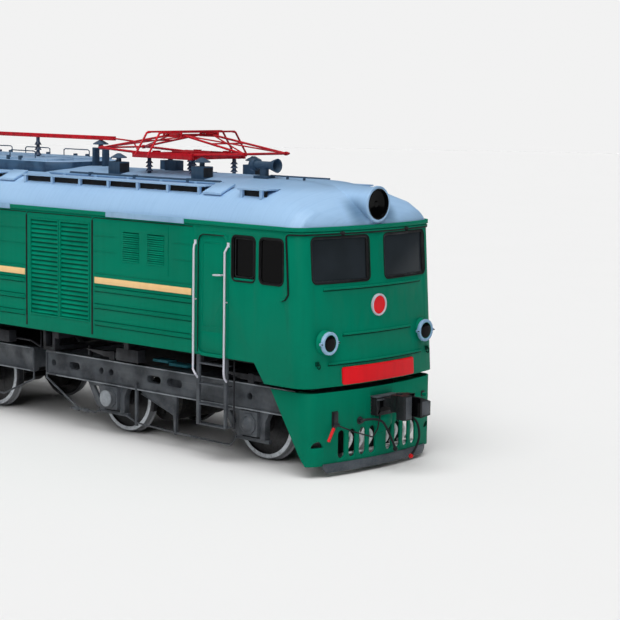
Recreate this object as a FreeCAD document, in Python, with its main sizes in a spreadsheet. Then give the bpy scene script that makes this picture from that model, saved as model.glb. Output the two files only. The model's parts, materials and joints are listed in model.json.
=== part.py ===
"""Cab section of a twin-section mainline electric locomotive, in millimetres.

Frame: +X forward, towards the cab; +Y to the locomotive's left; +Z up. The origin is on the floor that the wheel
flanges stand on, midway between the coupler's tip and the rear drawbar's eye. The rail top is one flange height above it.
Two bogies carry the body. They are joined to each other and carry the couplers, so the front apron turns with its bogie.
"""
import FreeCAD, Part
import math
import os
import re
from types import SimpleNamespace

# Driving dimensions: alias, value, meaning. Heights are above the floor.
SIZES = (
    ("coupler_reach", 800, "coupler tip ahead of the cab face"),
    ("joint_back", 13110, "rear drawbar pin behind the cab face"),
    ("eye_radius", 110, "drawbar eye, outside"),
    ("middle_eye_radius", 125, "eye of the joint between the bogies, outside"),
    ("eye_pin_radius", 45, "drawbar pin hole"),
    ("flange_height", 30, "flange below the rail top"),
    ("flange_width", 34, "flange thickness at the tread"),
    ("wheel_radius", 600, "tread"),
    ("tyre_width", 140, "tyre across the tread"),
    ("tyre_depth", 75, "tyre, tread to rim seat"),
    ("web_width", 40, "wheel web"),
    ("hub_radius", 160, "wheel hub"),
    ("back_to_back", 1440, "between the wheels' inner faces"),
    ("axle_radius", 100, "axle between the wheels"),
    ("journal_radius", 90, "axle in its boxes"),
    ("journal_reach", 1235, "axle end from the centreline"),
    ("axle_spacing", 3200, "in one bogie"),
    ("front_bogie_back", 3183, "front bogie centre behind the cab face"),
    ("bogie_spacing", 6697, "bogie centre to bogie centre"),
    ("middle_joint_back", 6628, "pin between the bogies, behind the cab face"),
    ("half_width", 1550, "body side from the centreline"),
    ("wall", 60, "side, front and rear walls"),
    ("body_low", 1652, "side walls' lower edge"),
    ("skirt_low", 1357, "cab skirt's lower edge"),
    ("skirt_top_back", 1179, "upper end of the skirt's slant behind the cab face"),
    ("skirt_low_back", 961, "lower end of the slant"),
    ("body_top", 3680, "walls' upper edge"),
    ("body_length", 12900, "cab face to rear wall"),
    ("door_pillar", 95, "door's rear edge to the cab bulkhead"),
    ("front_lean", 155, "cab front leans back from skirt to roof"),
    ("front_low_ahead", 18, "skirt edge ahead of the cab face"),
    ("bow_radius", 6040, "cab front in plan"),
    ("corner_radius", 260, "cab corners in plan"),
    ("roof_rise", 680, "crown above the walls"),
    ("crown_radius", 3220, "roof crown"),
    ("shoulder_radius", 708, "roof shoulder"),
    ("roof_sheet", 40, "roof panels"),
    ("dome_length", 1500, "cab roof falls to the front over this length"),
    ("cab_roof_length", 1900, "cab face to the roof joint"),
    ("gutter_height", 62, "rain gutter"),
    ("gutter_depth", 28, "rain gutter, outward"),
    ("gutter_drop", 12, "gutter below the wall's top"),
    ("pillar", 336, "between the windscreens"),
    ("screen_width", 1147, "one windscreen"),
    ("screen_low", 2893, "windscreen sill"),
    ("screen_height", 691, "windscreen"),
    ("window_corner", 85, "window corner radius"),
    ("glass", 10, "pane"),
    ("glass_inset", 26, "pane behind the outer face"),
    ("side_window_low", 2856, "cab side window sill"),
    ("side_window_height", 688, "cab side window"),
    ("side_window_width", 492, "cab side window"),
    ("front_window_back", 1088, "front side window's rear edge behind the cab face"),
    ("window_pitch", 578, "front side window to rear side window"),
    ("window_to_door", 119, "rear side window to the door"),
    ("door_width", 600, "cab door"),
    ("door_height", 1826, "cab door"),
    ("door_gap", 6, "round the doors"),
    ("door_thick", 40, "doors"),
    ("swing_gap", 10, "at a door's swinging edge"),
    ("hinge_offset", 16, "hinge axis inside the wall's inner face"),
    ("hinge_radius", 13, "hinge knuckle"),
    ("hinge_gap", 0.5, "hinge knuckle to its brackets"),
    ("knuckle", 100, "hinge knuckle's height"),
    ("pin_radius", 8, "hinge pin"),
    ("pin_play", 0.06, "hinge pin in its knuckle"),
    ("panel_back", 6524, "first louvre panel's rear edge behind the cab face"),
    ("panel_width", 1678, "louvre panel"),
    ("panel_pitch", 3380, "louvre panel to louvre panel"),
    ("louvre_margin", 105, "panel edge to louvre field"),
    ("louvre_low", 1925, "louvre field"),
    ("louvre_high", 3505, "louvre field"),
    ("mullion", 70, "between the two louvre columns"),
    ("louvre_pitch", 72, "blade to blade"),
    ("louvre_depth", 40, "blades"),
    ("rib_proud", 12, "pressed ribs on the sides"),
    ("rib_height", 64, "pressed ribs on the sides"),
    ("vent_louvre_width", 385, "small louvre"),
    ("vent_louvre_height", 480, "small louvre"),
    ("vent_louvre_low", 2955, "small louvre"),
    ("gangway_width", 700, "rear doorway"),
    ("gangway_height", 1900, "rear doorway"),
    ("bellows_width", 1180, "gangway bellows"),
    ("bellows_height", 2240, "gangway bellows"),
    ("bellows_length", 180, "gangway bellows"),
    ("bellows_thick", 110, "bellows folds"),
    ("floor_thick", 40, "floor plate"),
    ("sill_depth", 240, "centre sills"),
    ("bearer_depth", 120, "cross bearers"),
    ("bearer_width", 110, "cross bearers"),
    ("plate_gap", 0.3, "between flat faces that turn on each other"),
    ("sill_width", 160, "centre sills"),
    ("sill_offset", 430, "centre sill from the centreline"),
    ("pivot_radius", 260, "bogie centre plate"),
    ("pivot_low", 1320, "underside of the body's centre plate"),
    ("beam_low", 832, "bogie side beam"),
    ("beam_high", 1247, "bogie side beam"),
    ("beam_face", 1180, "side beam's outer face from the centreline"),
    ("beam_thick", 110, "side beam"),
    ("joint_clear", 179, "bogie end to the pin between the bogies"),
    ("rear_overhang", 3077, "rear bogie's frame behind its centre"),
    ("bolster_half", 330, "bogie bolster, from its centre"),
    ("end_beam", 160, "bogie end beams, along X"),
    ("tongue_low", 930, "drawbar tongues"),
    ("tongue_thick", 100, "drawbar tongues"),
    ("fork_thick", 40, "drawbar fork's plates"),
    ("fork_gap", 20, "tongue to fork"),
    ("joint_play", 12, "pin between the bogies in its eye"),
    ("frame_front_back", 620, "front bogie's frame ends behind the cab face"),
    ("apron_half_width", 1460, "front apron"),
    ("apron_ahead", 33, "apron ahead of the cab face, on the centreline"),
    ("apron_high", 1280, "apron's upper edge"),
    ("apron_low", 180, "apron's lower edge"),
    ("apron_sheet", 30, "apron"),
    ("apron_top_back", 915, "upper end of the apron's slant behind the cab face"),
    ("apron_low_back", 225, "lower end of the slant"),
    ("slot_low", 265, "apron's slots"),
    ("slot_height", 425, "apron's slots"),
    ("slot_width", 140, "apron's slots"),
    ("slot_offset", 195, "first slot from the centreline"),
    ("slot_pitch", 215, "slot to slot"),
    ("eye_offset", 1280, "apron's half-round holes from the centreline"),
    ("eye_low", 460, "their straight lower edge"),
    ("eye_hole_radius", 95, "their arch"),
    ("hump_radius", 215, "guard hump under the coupler"),
    ("hump_depth", 115, "guard hump under the coupler"),
    ("hump_below", 315, "hump's middle below the coupler's axis"),
    ("plough_half", 1195, "rubber strip"),
    ("hose_radius", 18, "brake hoses"),
    ("lever_radius", 11, "uncoupling rod"),
    ("plough_low", 68, "rubber strip's lower edge"),
    ("plough_high", 207, "rubber strip's upper edge"),
    ("plough_thick", 25, "rubber strip"),
    ("coupler_height", 1075, "coupler axis"),
    ("striker_half", 235, "coupler's striking box, half its width"),
    ("striker_below", 222, "striking box below the coupler's axis"),
    ("striker_above", 55, "striking box above the coupler's axis"),
    ("striker_reach", 120, "striking box ahead of the apron"),
    ("lever_offset", 980, "uncoupling lever's bracket from the centreline"),
    ("lever_below", 290, "its pivot below the coupler's axis"),
    ("pedestal_out", 300, "outer face of a pedestal leg from the axle"),
    ("pedestal_in", 190, "inner face of a pedestal leg from the axle"),
    ("pedestal_low", 400, "pedestal legs' lower end"),
    ("box_height", 380, "axle box"),
    ("web_reach", 640, "pedestal web's end behind the axle"),
    ("rod_radius", 17, "bogie tie bars"),
    ("tie_height", 329, "tie bar under the axle boxes"),
    ("box_inner", 1045, "axle box's inner face from the centreline"),
    ("box_outer", 1245, "axle box's outer face"),
    ("cover_radius", 118, "axle box's domed cover"),
    ("cover_rise", 58, "axle box's domed cover"),
    ("cover_plate", 158, "axle box's eight-sided plate, half its width"),
    ("cover_thick", 22, "axle box's eight-sided plate"),
    ("journal_gap", 0.3, "journal in its box"),
    ("spring_length", 1300, "leaf spring"),
    ("leaf_thick", 13, "one spring leaf"),
    ("leaf_width", 120, "spring leaves"),
    ("motor_radius", 400, "traction motor"),
    ("motor_length", 1120, "traction motor"),
    ("motor_offset", 640, "motor axis from the axle"),
    ("gearcase_radius", 440, "gear case round the axle"),
    ("axle_gap", 6, "round the axle in its gear case"),
    ("panto_back", 4150, "pantograph centre behind the cab face"),
    ("panto_rise", 220, "pantograph base's underside above the roof"),
    ("panto_base_depth", 60, "pantograph base's rails"),
    ("panto_rail", 470, "base rail from the centreline"),
    ("shaft_rise", 60, "lower arms' shafts above the base's underside"),
    ("panto_shaft_radius", 35, "lower arms' shafts"),
    ("panto_shaft_half", 540, "lower arm from the centreline at its shaft"),
    ("panto_shaft_offset", 350, "shaft from the pantograph's centre"),
    ("knee_offset", 1690, "knee from the pantograph's centre, folded"),
    ("knee_rise", 65, "knees above the shafts, folded"),
    ("knee_half", 525, "knee from the centreline"),
    ("head_pivot_offset", 150, "head pivot from the pantograph's centre"),
    ("head_pivot_rise", 320, "head pivots above the shafts, folded"),
    ("head_pivot_half", 420, "head cheek from the centreline"),
    ("head_tube_radius", 14, "upper arms' top tubes"),
    ("head_slot", 42, "rear top tube's play along X in its slotted cheeks"),
    ("knee_tube_radius", 16, "knee tubes"),
    ("pin_gap", 0.3, "pantograph tubes in their eyes"),
    ("head_rise", 70, "contact strips' top above the head pivots"),
    ("strip_half", 830, "contact strip, from the centreline"),
    ("horn_half", 1130, "head horns' tips from the centreline"),
    ("horn_drop", 390, "head horns' tips below the strips"),
    ("arm_radius", 21, "pantograph tubes"),
    ("busbar_rise", 485, "roof busbar's axis above the roof"),
    ("busbar_half", 35, "roof busbar"),
    ("busbar_tip", 480, "thin lead ahead of the busbar"),
    ("insulator_radius", 64, "porcelain sheds"),
    ("busbar_start", 6065, "busbar's front end behind the cab face"),
    ("walkway_height", 4235, "roof walkway"),
    ("walkway_edge", 1270, "walkway's outer edge from the centreline"),
    ("walkway_width", 420, "roof walkway"),
    ("walkway_thick", 22, "roof walkway"),
    ("walkway_post", 50, "walkway posts"),
    ("walkway_post_pitch", 780, "walkway posts"),
    ("walkway_front_back", 2620, "main walkway's front end behind the cab face"),
    ("walkway_rear_back", 7010, "main walkway's rear end"),
    ("rear_walkway_back", 7650, "rear walkway's front end"),
    ("front_platform_back", 1281, "small platform's front end"),
    ("front_platform_length", 562, "small platform"),
    ("pipe_radius", 22, "pipe along the walkway's inner edge"),
    ("hatch_front_back", 6600, "hatch coaming's front end behind the cab face"),
    ("hatch_length", 5600, "hatch coaming"),
    ("hatch_half_width", 820, "hatch coaming"),
    ("hatch_rise", 75, "hatch coaming above the roof's crown"),
    ("hatch_chamfer", 330, "hatch coaming's front corners"),
    ("lid_length", 1020, "hatch lids"),
    ("lid_gap", 60, "between hatch lids"),
    ("lid_thick", 38, "hatch lids"),
    ("vent_front_back", 3300, "front roof vents behind the cab face"),
    ("vent_pitch", 1990, "front roof vents to rear ones"),
    ("vent_offset", 590, "roof vents from the centreline"),
    ("vent_length", 270, "vent box"),
    ("vent_width", 230, "vent box"),
    ("vent_height", 185, "vent box"),
    ("cap_radius", 135, "mushroom cap"),
    ("cap_height", 78, "mushroom cap"),
    ("neck_radius", 42, "mushroom neck"),
    ("neck_height", 62, "mushroom neck"),
    ("bridge_back", 6420, "busbar's front stand behind the cab face"),
    ("bridge_half", 128, "its two posts from its middle"),
    ("horn_back", 2200, "horn behind the cab face"),
    ("horn_offset", 300, "horn from the centreline"),
    ("horn_rise", 200, "horn's axis above the roof"),
    ("horn_radius", 112, "horn's bell mouth"),
    ("headlight_radius", 265, "headlight rim"),
    ("headlight_height", 4035, "headlight axis"),
    ("headlight_back", 97, "headlight rim behind the cab face"),
    ("lamp_radius", 172, "buffer lamp rim"),
    ("lamp_height", 2021, "buffer lamps"),
    ("lamp_offset", 1122, "buffer lamp from the centreline"),
    ("plate_half", 815, "number plate"),
    ("plate_low", 1380, "number plate"),
    ("plate_height", 248, "number plate"),
    ("front_rib", 30, "pressed ribs across the cab front"),
    ("desk_back", 700, "driver's desk behind the cab face"),
    ("fairing_length", 900, "headlight fairing"),
    ("fairing_radius", 600, "headlight fairing, rear end"),
    ("disc_radius", 170, "front disc"),
    ("disc_height", 2513, "front disc's centre"),
)

doc = FreeCAD.newDocument("electric_locomotive_section")
sheet = doc.addObject("Spreadsheet::Sheet", "Sizes")
for row, (alias, value, meaning) in enumerate(SIZES, 1):
    sheet.set(f"A{row}", alias)
    sheet.set(f"B{row}", str(value))
    sheet.set(f"C{row}", meaning)
    sheet.setAlias(f"B{row}", alias)
doc.recompute()
S = SimpleNamespace(**{alias: float(sheet.get(alias)) for alias, value, meaning in SIZES})
ALIASES = {alias for alias, value, meaning in SIZES}
V = FreeCAD.Vector

# Places that follow from the driving dimensions, used in code and, as expressions, in the document.
CAB_FACE = "(joint_back + eye_radius - coupler_reach) / 2"
CAB_LENGTH = "(front_window_back + window_pitch + window_to_door + door_width + door_pillar)"
cab_face = (S.joint_back + S.eye_radius - S.coupler_reach) / 2
axle_height = S.flange_height + S.wheel_radius
front_bogie_x = cab_face - S.front_bogie_back
rear_bogie_x = front_bogie_x - S.bogie_spacing
roof_top = S.body_top + S.roof_rise
S.rear_window_back = S.front_window_back + S.window_pitch
S.door_back = S.rear_window_back + S.window_to_door + S.door_width
S.cab_length = S.door_back + S.door_pillar
S.panto_base_height = roof_top + S.panto_rise
S.panto_shaft_height = S.panto_base_height + S.shaft_rise
S.knee_height = S.panto_shaft_height + S.knee_rise
S.head_pivot_height = S.panto_shaft_height + S.head_pivot_rise
S.head_height = S.head_pivot_height + S.head_rise
S.busbar_height = roof_top + S.busbar_rise
rear_x = cab_face - S.body_length

nodes = {}


# ---------------------------------------------------------------- document helpers
def bound(text):
    """An expression with each alias led back to its cell."""
    return re.sub(r"[a-z][a-z_]*", lambda m: f"Sizes.{m.group(0)}" if m.group(0) in ALIASES else m.group(0), text)


def bind(item, **expressions):
    for prop, text in expressions.items():
        item.setExpression(prop.replace("Base_", "Placement.Base."), bound(text))
    return item


def block(name, x, y, z, length, width, height):
    """A Part::Box from its lowest corner, every size and place an expression."""
    item = doc.addObject("Part::Box", name)
    return bind(item, Length=length, Width=width, Height=height, Base_x=x, Base_y=y, Base_z=z)


def post(name, x, y, z, radius, height, direction=V(0, 0, 1)):
    """A Part::Cylinder from its base centre along a direction."""
    item = doc.addObject("Part::Cylinder", name)
    item.Placement.Rotation = FreeCAD.Rotation(V(0, 0, 1), direction)
    return bind(item, Radius=radius, Height=height, Base_x=x, Base_y=y, Base_z=z)


def joined(name, items):
    item = doc.addObject("Part::MultiFuse", name)
    item.Shapes = items
    return item


def cut(name, base, tool):
    item = doc.addObject("Part::Cut", name)
    item.Base = base
    item.Tool = tool
    return item


def mirrored(name, source):
    """A copy on the other side of the centreline."""
    item = doc.addObject("Part::Mirroring", name)
    item.Source = source
    item.Normal = V(0, 1, 0)
    return item


def node(label, item):
    """Names a finished sub-part. A bare shape becomes a Part::Feature first."""
    if not hasattr(item, "Document"):
        shape = item
        item = doc.addObject("Part::Feature", label)
        item.Shape = shape
    item.Label = label
    nodes[label] = item
    return item


# ---------------------------------------------------------------- shape helpers
def box(x0, x1, y0, y1, z0, z1):
    return Part.makeBox(x1 - x0, y1 - y0, z1 - z0, V(x0, y0, z0))


def rod(start, end, radius):
    return Part.makeCylinder(radius, (end - start).Length, start, end - start)


def bent_rod(points, radius):
    """A round bar through points, with ball corners."""
    pieces = [rod(a, b, radius) for a, b in zip(points, points[1:])]
    pieces += [Part.makeSphere(radius, p) for p in points[1:-1]]
    return fuse(pieces)


def fuse(shapes):
    return shapes[0].multiFuse(shapes[1:]).removeSplitter() if len(shapes) > 1 else shapes[0]


def both_sides(shape):
    return Part.makeCompound([shape, shape.mirror(V(0, 0, 0), V(0, 1, 0))])


def side_prism(outline, y0, y1):
    """An outline of (x, z) points, extruded across the body."""
    wire = Part.makePolygon([V(x, y0, z) for x, z in outline + outline[:1]])
    return Part.Face(wire).extrude(V(0, y1 - y0, 0))


def plan_prism(outline, z0, z1):
    """An outline of (x, y) points, extruded upwards."""
    wire = Part.makePolygon([V(x, y, z0) for x, y in outline + outline[:1]])
    return Part.Face(wire).extrude(V(0, 0, z1 - z0))


def rounded_hole(across, u0, u1, z0, z1, radius, w0, w1):
    """A rectangle with round corners, extruded along X or Y; u runs along the other one."""
    corners = [(u0 + radius, z0, 1, 0), (u1, z0 + radius, 0, 1), (u1 - radius, z1, -1, 0), (u0, z1 - radius, 0, -1)]
    middles = [(u1 - radius, z0 + radius), (u1 - radius, z1 - radius), (u0 + radius, z1 - radius),
               (u0 + radius, z0 + radius)]
    point = (lambda u, z: V(w0, u, z)) if across == "X" else (lambda u, z: V(u, w0, z))
    ends = [(u1 - radius, z0), (u1, z1 - radius), (u0 + radius, z1), (u0, z0 + radius)]
    diagonal = radius / math.sqrt(2)
    signs = [(1, -1), (1, 1), (-1, 1), (-1, -1)]
    edges = []
    for i in range(4):
        start = point(*corners[i][:2])
        end = point(*ends[i])
        after = point(*corners[(i + 1) % 4][:2])
        middle = point(middles[i][0] + signs[i][0] * diagonal, middles[i][1] + signs[i][1] * diagonal)
        edges.append(Part.LineSegment(start, end).toShape())
        edges.append(Part.Arc(end, middle, after).toShape())
    direction = V(w1 - w0, 0, 0) if across == "X" else V(0, w1 - w0, 0)
    return Part.Face(Part.Wire(edges)).extrude(direction)


def front_at(z):
    """X of the cab front on the centreline at a height."""
    share = (z - S.skirt_low) / (S.body_top - S.skirt_low)
    return cab_face + S.front_low_ahead - S.front_lean * share


def nose_corner(front, half, inset, radius=None):
    """Corner arc of a nose's plan: its centre, and where it meets the bowed front."""
    bow = S.bow_radius - inset
    corner = (S.corner_radius if radius is None else radius) - inset
    side = half - corner
    centre_x = front - bow + math.sqrt((bow - corner) ** 2 - side ** 2)
    reach = V(centre_x - front + bow, side, 0).normalize() * bow
    return corner, centre_x, side, V(front - bow + reach.x, reach.y, 0)


def nose_wire(front, half, back, z, inset=0.0):
    """Plan of a bowed nose with round corners, closed by a straight back."""
    front, half = front - inset, half - inset
    corner, centre_x, side, meet = nose_corner(front, half, inset)
    turn = V(meet.x - centre_x, meet.y - side, 0)
    middle = (turn.normalize() + V(0, 1, 0)).normalize() * corner
    left = [V(back, half, z), V(centre_x, half, z), V(centre_x + middle.x, side + middle.y, z), V(meet.x, meet.y, z)]
    right = [V(p.x, -p.y, z) for p in left]
    return Part.Wire([
        Part.LineSegment(left[0], left[1]).toShape(),
        Part.Arc(left[1], left[2], left[3]).toShape(),
        Part.Arc(left[3], V(front, 0, z), right[3]).toShape(),
        Part.Arc(right[3], right[2], right[1]).toShape(),
        Part.LineSegment(right[1], right[0]).toShape(),
        Part.LineSegment(right[0], left[0]).toShape(),
    ])


def nose_loft(inset, z0, z1, back):
    """The leaning nose as a solid, set in from the outer face."""
    wires = [nose_wire(front_at(z), S.half_width, back, z, inset) for z in (z0, z1)]
    return Part.makeLoft(wires, True, True)


def bowed_strip(z0, z1, half, out, depth):
    """A strip on the cab front that follows its bow: out is how far it stands proud, depth its thickness."""
    front = front_at((z0 + z1) / 2)
    centre = V(front - S.bow_radius, 0, z0)
    height = z1 - z0
    ring = Part.makeCylinder(S.bow_radius + out, height, centre).cut(
        Part.makeCylinder(S.bow_radius + out - depth, height, centre))
    return ring.common(box(front - S.bow_radius / 2, front + 2 * out, -half, half, z0, z1))


def shoulder_centre():
    """Centre of the shoulder arc as (y, height): it meets the crown's arc and the wall's top edge."""
    crown_centre = S.roof_rise - S.crown_radius
    gap = S.crown_radius - S.shoulder_radius
    run, fall = S.half_width, -crown_centre
    span = math.hypot(run, fall)
    along = (gap ** 2 - S.shoulder_radius ** 2 + span ** 2) / (2 * span)
    across = math.sqrt(max(gap ** 2 - along ** 2, 0))
    return along * run / span - across * fall / span, crown_centre + along * fall / span + across * run / span


def arch_points(half, rise):
    """Half of the roof's section from the crown to the wall's top, as (y, height) points of its two arcs."""
    crown_centre = S.roof_rise - S.crown_radius
    cy, cz = shoulder_centre()
    meet = V(cy, cz - crown_centre, 0).normalize() * S.crown_radius
    join = (meet.x, crown_centre + meet.y)
    half_turn = math.asin(join[0] / S.crown_radius) / 2
    crown_mid = (S.crown_radius * math.sin(half_turn), crown_centre + S.crown_radius * math.cos(half_turn))
    turn = V(join[0] - cy, join[1] - cz, 0).normalize() + V(S.half_width - cy, -cz, 0).normalize()
    shoulder = turn.normalize() * S.shoulder_radius
    points = [(0, S.roof_rise), crown_mid, join, (cy + shoulder.x, cz + shoulder.y), (S.half_width, 0)]
    return [(y * half / S.half_width, z * rise / S.roof_rise) for y, z in points]


def arch_wire(x, half, rise, base=0.0):
    """Section of the roof across the body, closed along the walls' top."""
    crown, crown_mid, join, shoulder, foot = [V(x, y, S.body_top + base + z) for y, z in arch_points(half, rise)]
    other = lambda p: V(p.x, -p.y, p.z)
    return Part.Wire([
        Part.Arc(foot, shoulder, join).toShape(),
        Part.Arc(join, crown, other(join)).toShape(),
        Part.Arc(other(join), other(shoulder), other(foot)).toShape(),
        Part.LineSegment(other(foot), foot).toShape(),
    ])


def nose_half_width(x, z, inset=0.0):
    """Half width of the cab's plan at a given X."""
    front = front_at(z) - inset
    half = S.half_width - inset
    corner, centre_x, side, meet = nose_corner(front, half, inset)
    if x <= centre_x:
        return half
    if x <= meet.x:
        return side + math.sqrt(max(corner ** 2 - (x - centre_x) ** 2, 0))
    return math.sqrt(max((S.bow_radius - inset) ** 2 - (x - front + S.bow_radius - inset) ** 2, 0))


# ---------------------------------------------------------------- body
def cab_shell():
    back = cab_face - S.cab_length
    shell = nose_loft(0, S.skirt_low, S.body_top, back)
    shell = shell.cut(nose_loft(S.wall, S.skirt_low, S.body_top, back - S.wall))
    slant = side_prism([(back - 1, S.skirt_low - 1), (cab_face - S.skirt_low_back, S.skirt_low - 1),
                        (cab_face - S.skirt_low_back, S.skirt_low), (cab_face - S.skirt_top_back, S.body_low),
                        (back - 1, S.body_low)], -S.half_width - 1, S.half_width + 1)
    tools = [slant, screens(0), side_windows(0)]
    room = nose_loft(S.wall, S.skirt_low, S.body_top, back - S.wall)
    shell = shell.fuse([rib.cut(room) for rib in front_ribs()])
    floor = S.body_low + S.floor_thick
    door = box(cab_face - S.door_back, cab_face - S.door_back + S.door_width, -S.half_width - 1, S.half_width + 1,
               floor, floor + S.door_height)
    shell = shell.cut(tools + [door])
    return fuse([shell] + both_sides(cab_door()[1]).Solids)


def screens(shrink):
    """Both windscreen openings as one tool."""
    y0 = S.pillar / 2 + shrink
    hole = rounded_hole("X", y0, y0 + S.screen_width - 2 * shrink, S.screen_low + shrink,
                        S.screen_low + S.screen_height - shrink, S.window_corner, cab_face - 2 * S.corner_radius,
                        cab_face + S.wall)
    return both_sides(hole)


def side_windows(shrink):
    """The four cab side windows as one tool through both walls."""
    holes = []
    for back in (S.front_window_back, S.rear_window_back):
        x0 = cab_face - back + shrink
        holes.append(rounded_hole("Y", x0, x0 + S.side_window_width - 2 * shrink, S.side_window_low + shrink,
                                  S.side_window_low + S.side_window_height - shrink, S.window_corner,
                                  -S.half_width - 1, S.half_width + 1))
    return Part.makeCompound(holes)


def cab_windows():
    """Two bowed panes in the front openings and four flat ones in the sides."""
    z0, z1, back = S.screen_low - 1, S.screen_low + S.screen_height + 1, cab_face - S.corner_radius * 2
    skin = nose_loft(S.glass_inset, z0, z1, back).cut(nose_loft(S.glass_inset + S.glass, z0, z1, back - 1))
    face = S.half_width - S.glass_inset
    slab = box(cab_face - S.cab_length, cab_face, face - S.glass, face, S.side_window_low, S.body_top)
    return Part.makeCompound([skin.common(screens(0)), both_sides(slab.common(side_windows(0)))])


def side_walls():
    """Machine room walls with their louvre openings and pressed ribs."""
    x0, x1 = rear_x + S.wall, cab_face - S.cab_length
    outer, inner = S.half_width, S.half_width - S.wall
    pieces = [box(x0, x1, inner, outer, S.body_low, S.body_top)]
    for start, end in rib_bays():
        for z in rib_heights():
            pieces.append(box(start, end, outer - 1, outer + S.rib_proud, z - S.rib_height / 2, z + S.rib_height / 2))
    tools = [box(a, b, inner - 1, outer + 2 * S.rib_proud, z0, z1) for a, b, z0, z1 in louvre_fields()]
    return both_sides(fuse(pieces).cut(tools))


def panel_edges():
    """Front and rear X of each louvre panel."""
    ends = []
    for i in range(2):
        back = cab_face - S.panel_back - i * S.panel_pitch
        ends.append((back, back + S.panel_width))
    return ends


def rib_bays():
    """X ranges of the ribbed bays between the louvre panels."""
    (a0, a1), (b0, b1) = panel_edges()
    edge = S.louvre_margin / 2
    return [(a1 + edge, cab_face - S.cab_length - edge), (b1 + edge, a0 - edge), (rear_x + S.wall + edge, b0 - edge)]


def rib_heights():
    """Centres of the pressed ribs below the waist stripe."""
    pitch = 4.35 * S.rib_height
    return [S.body_low + 4 * S.rib_height + i * pitch for i in range(3)]


def louvre_fields():
    """(x0, x1, z0, z1) of each louvre opening in a side wall."""
    fields = []
    for x0, x1 in panel_edges():
        column = (S.panel_width - 2 * S.louvre_margin - S.mullion) / 2
        for start in (x0 + S.louvre_margin, x1 - S.louvre_margin - column):
            fields.append((start, start + column, S.louvre_low, S.louvre_high))
    vent_front = panel_edges()[0][1] + 725
    for i in range(2):
        start = vent_front + i * 1.5 * S.vent_louvre_width
        fields.append((start, start + S.vent_louvre_width, S.vent_louvre_low,
                       S.vent_louvre_low + S.vent_louvre_height))
    return fields


def louvres():
    """Every louvre field's blades as one saw-toothed block a field."""
    blocks = []
    outer = S.half_width - 4
    for x0, x1, z0, z1 in louvre_fields():
        count = max(int((z1 - z0) // S.louvre_pitch), 1)
        pitch = (z1 - z0) / count
        edge = [(outer - S.louvre_depth / 3, z0)]
        for i in range(count):
            edge.append((outer, z0 + i * pitch + 0.25 * pitch))
            edge.append((outer - S.louvre_depth / 3, z0 + (i + 1) * pitch))
        outline = edge + [(outer - S.louvre_depth, z1), (outer - S.louvre_depth, z0)]
        wire = Part.makePolygon([V(x0, y, z) for y, z in outline + outline[:1]])
        blocks.append(Part.Face(wire).extrude(V(x1 - x0, 0, 0)))
    return both_sides(Part.makeCompound(blocks))


def rain_gutter():
    """Gutter round the cab front and along both sides."""
    z0, z1 = S.body_top - S.gutter_drop, S.body_top - S.gutter_drop + S.gutter_height
    front = front_at(S.body_top)
    outer = Part.Face(nose_wire(front + S.gutter_depth, S.half_width + S.gutter_depth, rear_x, z0))
    inner = Part.Face(nose_wire(front + 2, S.half_width + 0.3, rear_x - 1, z0 - 1))
    return outer.extrude(V(0, 0, z1 - z0)).cut(inner.extrude(V(0, 0, z1 - z0 + 2)))


def roof_main():
    x0, x1 = rear_x, cab_face - S.cab_roof_length
    outer = Part.Face(arch_wire(x0, S.half_width, S.roof_rise)).extrude(V(x1 - x0, 0, 0))
    inner = Part.Face(arch_wire(x0 + S.wall, S.half_width - S.wall, S.roof_rise - S.roof_sheet, -0.01))
    return outer.cut(inner.extrude(V(x1 - x0, 0, 0)))


def dome_sections(inset):
    """(x, half width, rise) of the cab roof's sections, from the joint to the front."""
    front = front_at(S.body_top) - inset
    rise = S.roof_rise - inset * S.roof_sheet / S.wall
    rows = [(cab_face - S.cab_roof_length - (1 if inset else 0), S.half_width - inset, rise)]
    for share in (0.0, 0.3, 0.55, 0.74, 0.86, 0.93, 0.97, 0.99):
        x = front - S.dome_length * (1 - share)
        rows.append((x, nose_half_width(x, S.body_top, inset), rise * math.sqrt(1 - share ** 2.6)))
    return rows


def roof_cab():
    outer, inner = [Part.makeLoft([arch_wire(*row, base=-0.01 if inset else 0) for row in dome_sections(inset)],
                                  True, True) for inset in (0, S.wall)]
    return outer.cut(inner)


def rear_wall():
    wall = box(rear_x, rear_x + S.wall, -S.half_width, S.half_width, S.body_low, S.body_top)
    half = S.gangway_width / 2
    floor = S.body_low + S.floor_thick
    wall = wall.cut(box(rear_x - 1, rear_x + S.wall + 1, -half, half, floor, floor + S.gangway_height))
    return fuse([wall] + gangway_door()[1].Solids)


def bellows():
    """Folded gangway tunnel on the rear wall."""
    half, low = S.bellows_width / 2, S.body_low + S.floor_thick - (S.bellows_height - S.gangway_height) / 2
    pieces = []
    folds = 5
    pitch = S.bellows_length / folds
    for i in range(folds):
        x1 = rear_x - i * pitch
        grow = 0 if i % 2 else 25
        outer = box(x1 - pitch, x1, -half - grow, half + grow, low - grow, low + S.bellows_height + grow)
        hole = box(x1 - pitch, x1, -half + S.bellows_thick, half - S.bellows_thick, low + S.bellows_thick,
                   low + S.bellows_height - S.bellows_thick)
        pieces.append(outer.cut(hole))
    return fuse(pieces)


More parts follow.
